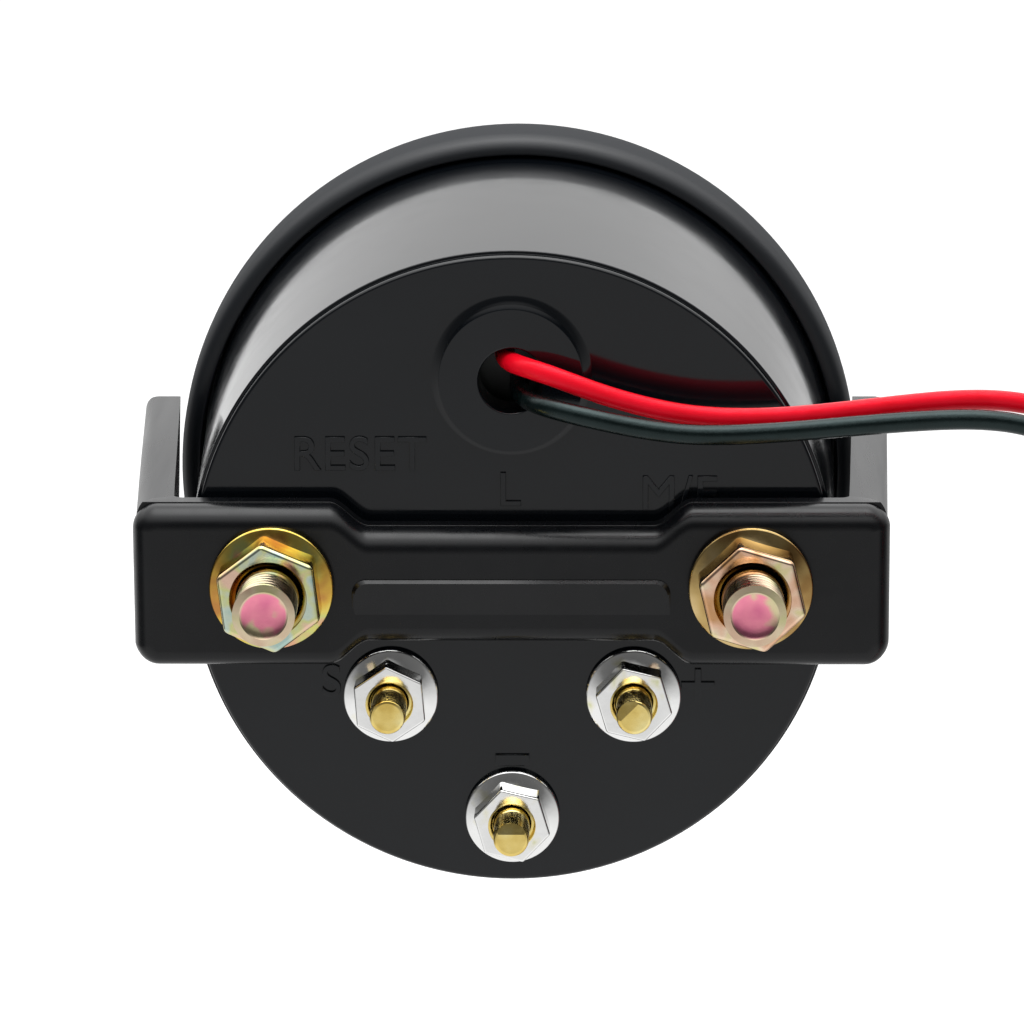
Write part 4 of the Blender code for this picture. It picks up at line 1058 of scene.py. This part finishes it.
# Dial. An aluminium plate, painted fine matt black, with its scale printed in white and a red band
# from 105 to 120 degrees C. Two small pan head screws hold it to the movement.
dial_paint = new_surface("dial_black", (0.010, 0.010, 0.011), 0.62, specular=0.35)
mottle(dial_paint, 700.0, (0.007, 0.007, 0.008), (0.013, 0.013, 0.014))
vary(dial_paint, noise(dial_paint, 2500.0), 0.55, 0.70, "Roughness")
relief(dial_paint, noise(dial_paint, 6000.0, 2.0), 0.0000025)
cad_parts["dial"].data.materials.clear()
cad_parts["dial"].data.materials.append(dial_paint)
white_ink = new_surface("dial_white_ink", (0.82, 0.82, 0.80), 0.55)
mottle(white_ink, 2000.0, (0.76, 0.76, 0.74), (0.86, 0.86, 0.84))
red_ink = new_surface("dial_red_ink", (0.72, 0.02, 0.02), 0.55)
mottle(red_ink, 2000.0, (0.64, 0.015, 0.015), (0.78, 0.025, 0.02))
DIAL_FRONT = -0.0001
INK = 0.00002
SWEEP = radians(240.0)


def printed_bar(name, turn, inner, outer, width, ink):
    """A thin printed bar that points to the dial's centre, turned clockwise from the top."""
    bpy.ops.object.select_all(action="DESELECT")
    bpy.ops.mesh.primitive_plane_add(size=1.0, location=(0.0, DIAL_FRONT, 0.0), rotation=(-pi / 2, 0.0, 0.0))
    bar = bpy.context.object
    bar.name = name
    bpy.ops.object.transform_apply()
    bpy.ops.object.mode_set(mode="EDIT")
    bpy.ops.mesh.select_all(action="SELECT")
    bpy.ops.transform.resize(value=(width, 1.0, outer - inner), center_override=(0.0, DIAL_FRONT, 0.0))
    bpy.ops.transform.translate(value=(0.0, 0.0, (inner + outer) / 2))
    bpy.ops.mesh.extrude_region_move(TRANSFORM_OT_translate={"value": (0.0, INK, 0.0)})
    bpy.ops.mesh.select_all(action="SELECT")
    bpy.ops.mesh.normals_make_consistent(inside=False)
    bpy.ops.object.mode_set(mode="OBJECT")
    for vertex in bar.data.vertices:
        x, z = vertex.co.x, vertex.co.z
        vertex.co.x = x * cos(turn) - z * sin(turn)
        vertex.co.z = x * sin(turn) + z * cos(turn)
    bar.data.materials.append(ink)
    return bar


def printed_words(name, words, size, x, z):
    """Printed words, read from the dial's side."""
    place = (x, DIAL_FRONT + INK / 2, z)
    return lettering(name, words, size, place, (pi / 2, 0.0, pi), INK / 2, white_ink)


scale_marks = []
for degrees_c in range(40, 121, 2):
    turn = SWEEP * (degrees_c - 80) / 80
    inner, width = (0.0166, 0.00075) if degrees_c % 20 == 0 else (0.0176, 0.00045)
    if degrees_c % 10:
        inner, width = 0.0188, 0.00022
    scale_marks.append(printed_bar(f"tick_{degrees_c}", turn, inner, 0.0200, width, white_ink))
for degrees_c in range(40, 121, 20):
    turn = SWEEP * (degrees_c - 80) / 80
    scale_marks.append(
        printed_words(f"number_{degrees_c}", str(degrees_c), 0.0036, -0.0136 * sin(turn), 0.0136 * cos(turn))
    )
scale_marks.append(printed_words("unit_sign", "\u00b0C", 0.0036, 0.0, -0.0112))
scale_marks.append(printed_words("use_words", "WATER TEMP", 0.0020, 0.0, -0.0152))
scale_print = join("dial_print", *scale_marks)
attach(scale_print, "gauge")
hot_marks = [
    printed_bar(f"hot_{step}", SWEEP * (25.0 + 15.0 * step / 29) / 80, 0.0203, 0.0210, 0.00056, red_ink)
    for step in range(30)
]
hot_band = join("dial_hot_band", *hot_marks)
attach(hot_band, "gauge")

steel = plated("steel", [(0.3, (0.50, 0.50, 0.51)), (0.7, (0.66, 0.66, 0.66))], 0.25, 600.0)
for name in ("dial_screw_left", "dial_screw_right"):
    low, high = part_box(name)
    x, z = (low[0] + high[0]) / 2, (low[2] + high[2]) / 2
    head_back, head_front = high[1] - 0.0008, high[1]
    screw = lathe(
        f"{name}_pan",
        [(0.0007, low[1]), (0.0007, head_back), (0.0015, head_back), (0.0015, head_back + 0.0003)]
        + [(0.0014, head_back + 0.00055), (0.0011, head_front - 0.00005), (0.0007, head_front)],
        40, steel, x, z,
    )
    for turn in (0.0, pi / 2):
        bpy.ops.object.select_all(action="DESELECT")
        bpy.ops.mesh.primitive_cube_add(
            size=1.0, location=(x, head_front, z), rotation=(0.0, turn + 0.4, 0.0)
        )
        slot = bpy.context.object
        slot.scale = (0.0018, 0.0009, 0.00038)
        bpy.ops.object.transform_apply()
        combine(screw, slot, "DIFFERENCE")
    even_shading(screw)
    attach(screw, "gauge")
    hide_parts(name)
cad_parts["spindle"].data.materials.clear()
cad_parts["spindle"].data.materials.append(steel)

# Pointer. A red needle moulded in one with its hub and tail, its top roof shaped, is pressed on the
# spindle under a domed black cap. It stands at 40 degrees C here.
needle_red = new_surface("pointer_red", (0.80, 0.02, 0.012), 0.38)
mottle(needle_red, 500.0, (0.72, 0.015, 0.010), (0.85, 0.026, 0.016))
relief(needle_red, noise(needle_red, 4000.0), 0.000004)
POINTER_BACK = 0.0014
POINTER_FRONT = 0.0021
REST_TURN = -SWEEP / 2
needle_rings = []
for along, half in (
    (-0.0065, 0.0010), (-0.0063, 0.0013), (-0.0035, 0.0013), (-0.0022, 0.0009), (0.0, 0.00085),
    (0.0120, 0.00062), (0.0185, 0.00038), (0.0191, 0.00012),
):
    section = [
        (-half, POINTER_BACK), (-half, POINTER_BACK + 0.0004), (0.0, POINTER_FRONT),
        (half, POINTER_BACK + 0.0004), (half, POINTER_BACK),
    ]
    rest_cos, rest_sin = cos(REST_TURN), sin(REST_TURN)
    needle_rings.append([
        (across * rest_cos - along * rest_sin, y, across * rest_sin + along * rest_cos)
        for across, y in section
    ])
needle = loft("needle_blade", needle_rings, needle_red)
hub = lathe(
    "needle_hub",
    [(0.0028, POINTER_BACK), (0.0030, POINTER_BACK + 0.0001), (0.0030, POINTER_FRONT - 0.0001)]
    + [(0.0028, POINTER_FRONT)],
    48, needle_red,
)
combine(needle, hub, "UNION")
even_shading(needle, radians(25.0))
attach(needle, "needle")
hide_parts("pointer")
cap = lathe(
    "needle_cap",
    [(0.0040, 0.0024), (0.0043, 0.0025), (0.0043, 0.0032)] + arc((0.0031, 0.0032), 0.0012, 0, 84, 8)[1:]
    + [(0.0016, 0.00441), (0.0008, 0.00441)],
    64, satin_abs,
)
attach(cap, "needle")
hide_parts("pointer_cap")

# Inside. A white light box carries the dial; behind it are a grey movement case and a green circuit
# board with four lamps, soldered to the terminal studs. The board's green is painted nearly black: painted
# shade, standing in for the dark inside of the cup that shows through the cable hole.
white_abs = new_surface("white_abs", (0.72, 0.72, 0.69), 0.45)
mottle(white_abs, 200.0, (0.68, 0.68, 0.65), (0.76, 0.76, 0.73))
grey_case = new_surface("movement_grey", (0.30, 0.31, 0.32), 0.5)
mottle(grey_case, 250.0, (0.26, 0.27, 0.28), (0.34, 0.35, 0.36))
relief(grey_case, noise(grey_case, 2500.0), 0.00001)
# Painted shade: the board's green is darkened nearly to black so that the cable hole reads dark.
board_painted_shade = new_surface("board_green", (0.002, 0.010, 0.004), 0.35)
colours(
    board_painted_shade, noise(board_painted_shade, 350.0, 1.0),
    [(0.48, (0.0012, 0.006, 0.0025)), (0.52, (0.003, 0.014, 0.006))],
)
lamp_glass = new_surface("lamp_clear", (0.90, 0.90, 0.86), 0.12)
set_shader(lamp_glass, "Transmission Weight", 0.9)
vary(lamp_glass, noise(lamp_glass, 800.0), 0.08, 0.18, "Roughness")
for node, material in (
    ("light_box", white_abs), ("movement_case", grey_case), ("circuit_board", board_painted_shade),
    ("lamp_1", lamp_glass), ("lamp_2", lamp_glass), ("lamp_3", lamp_glass), ("lamp_4", lamp_glass),
):
    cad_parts[node].data.materials.clear()
    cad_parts[node].data.materials.append(material)

size = {"cad": [list(corner) for corner in cad_box], "visual": [list(corner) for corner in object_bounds()]}
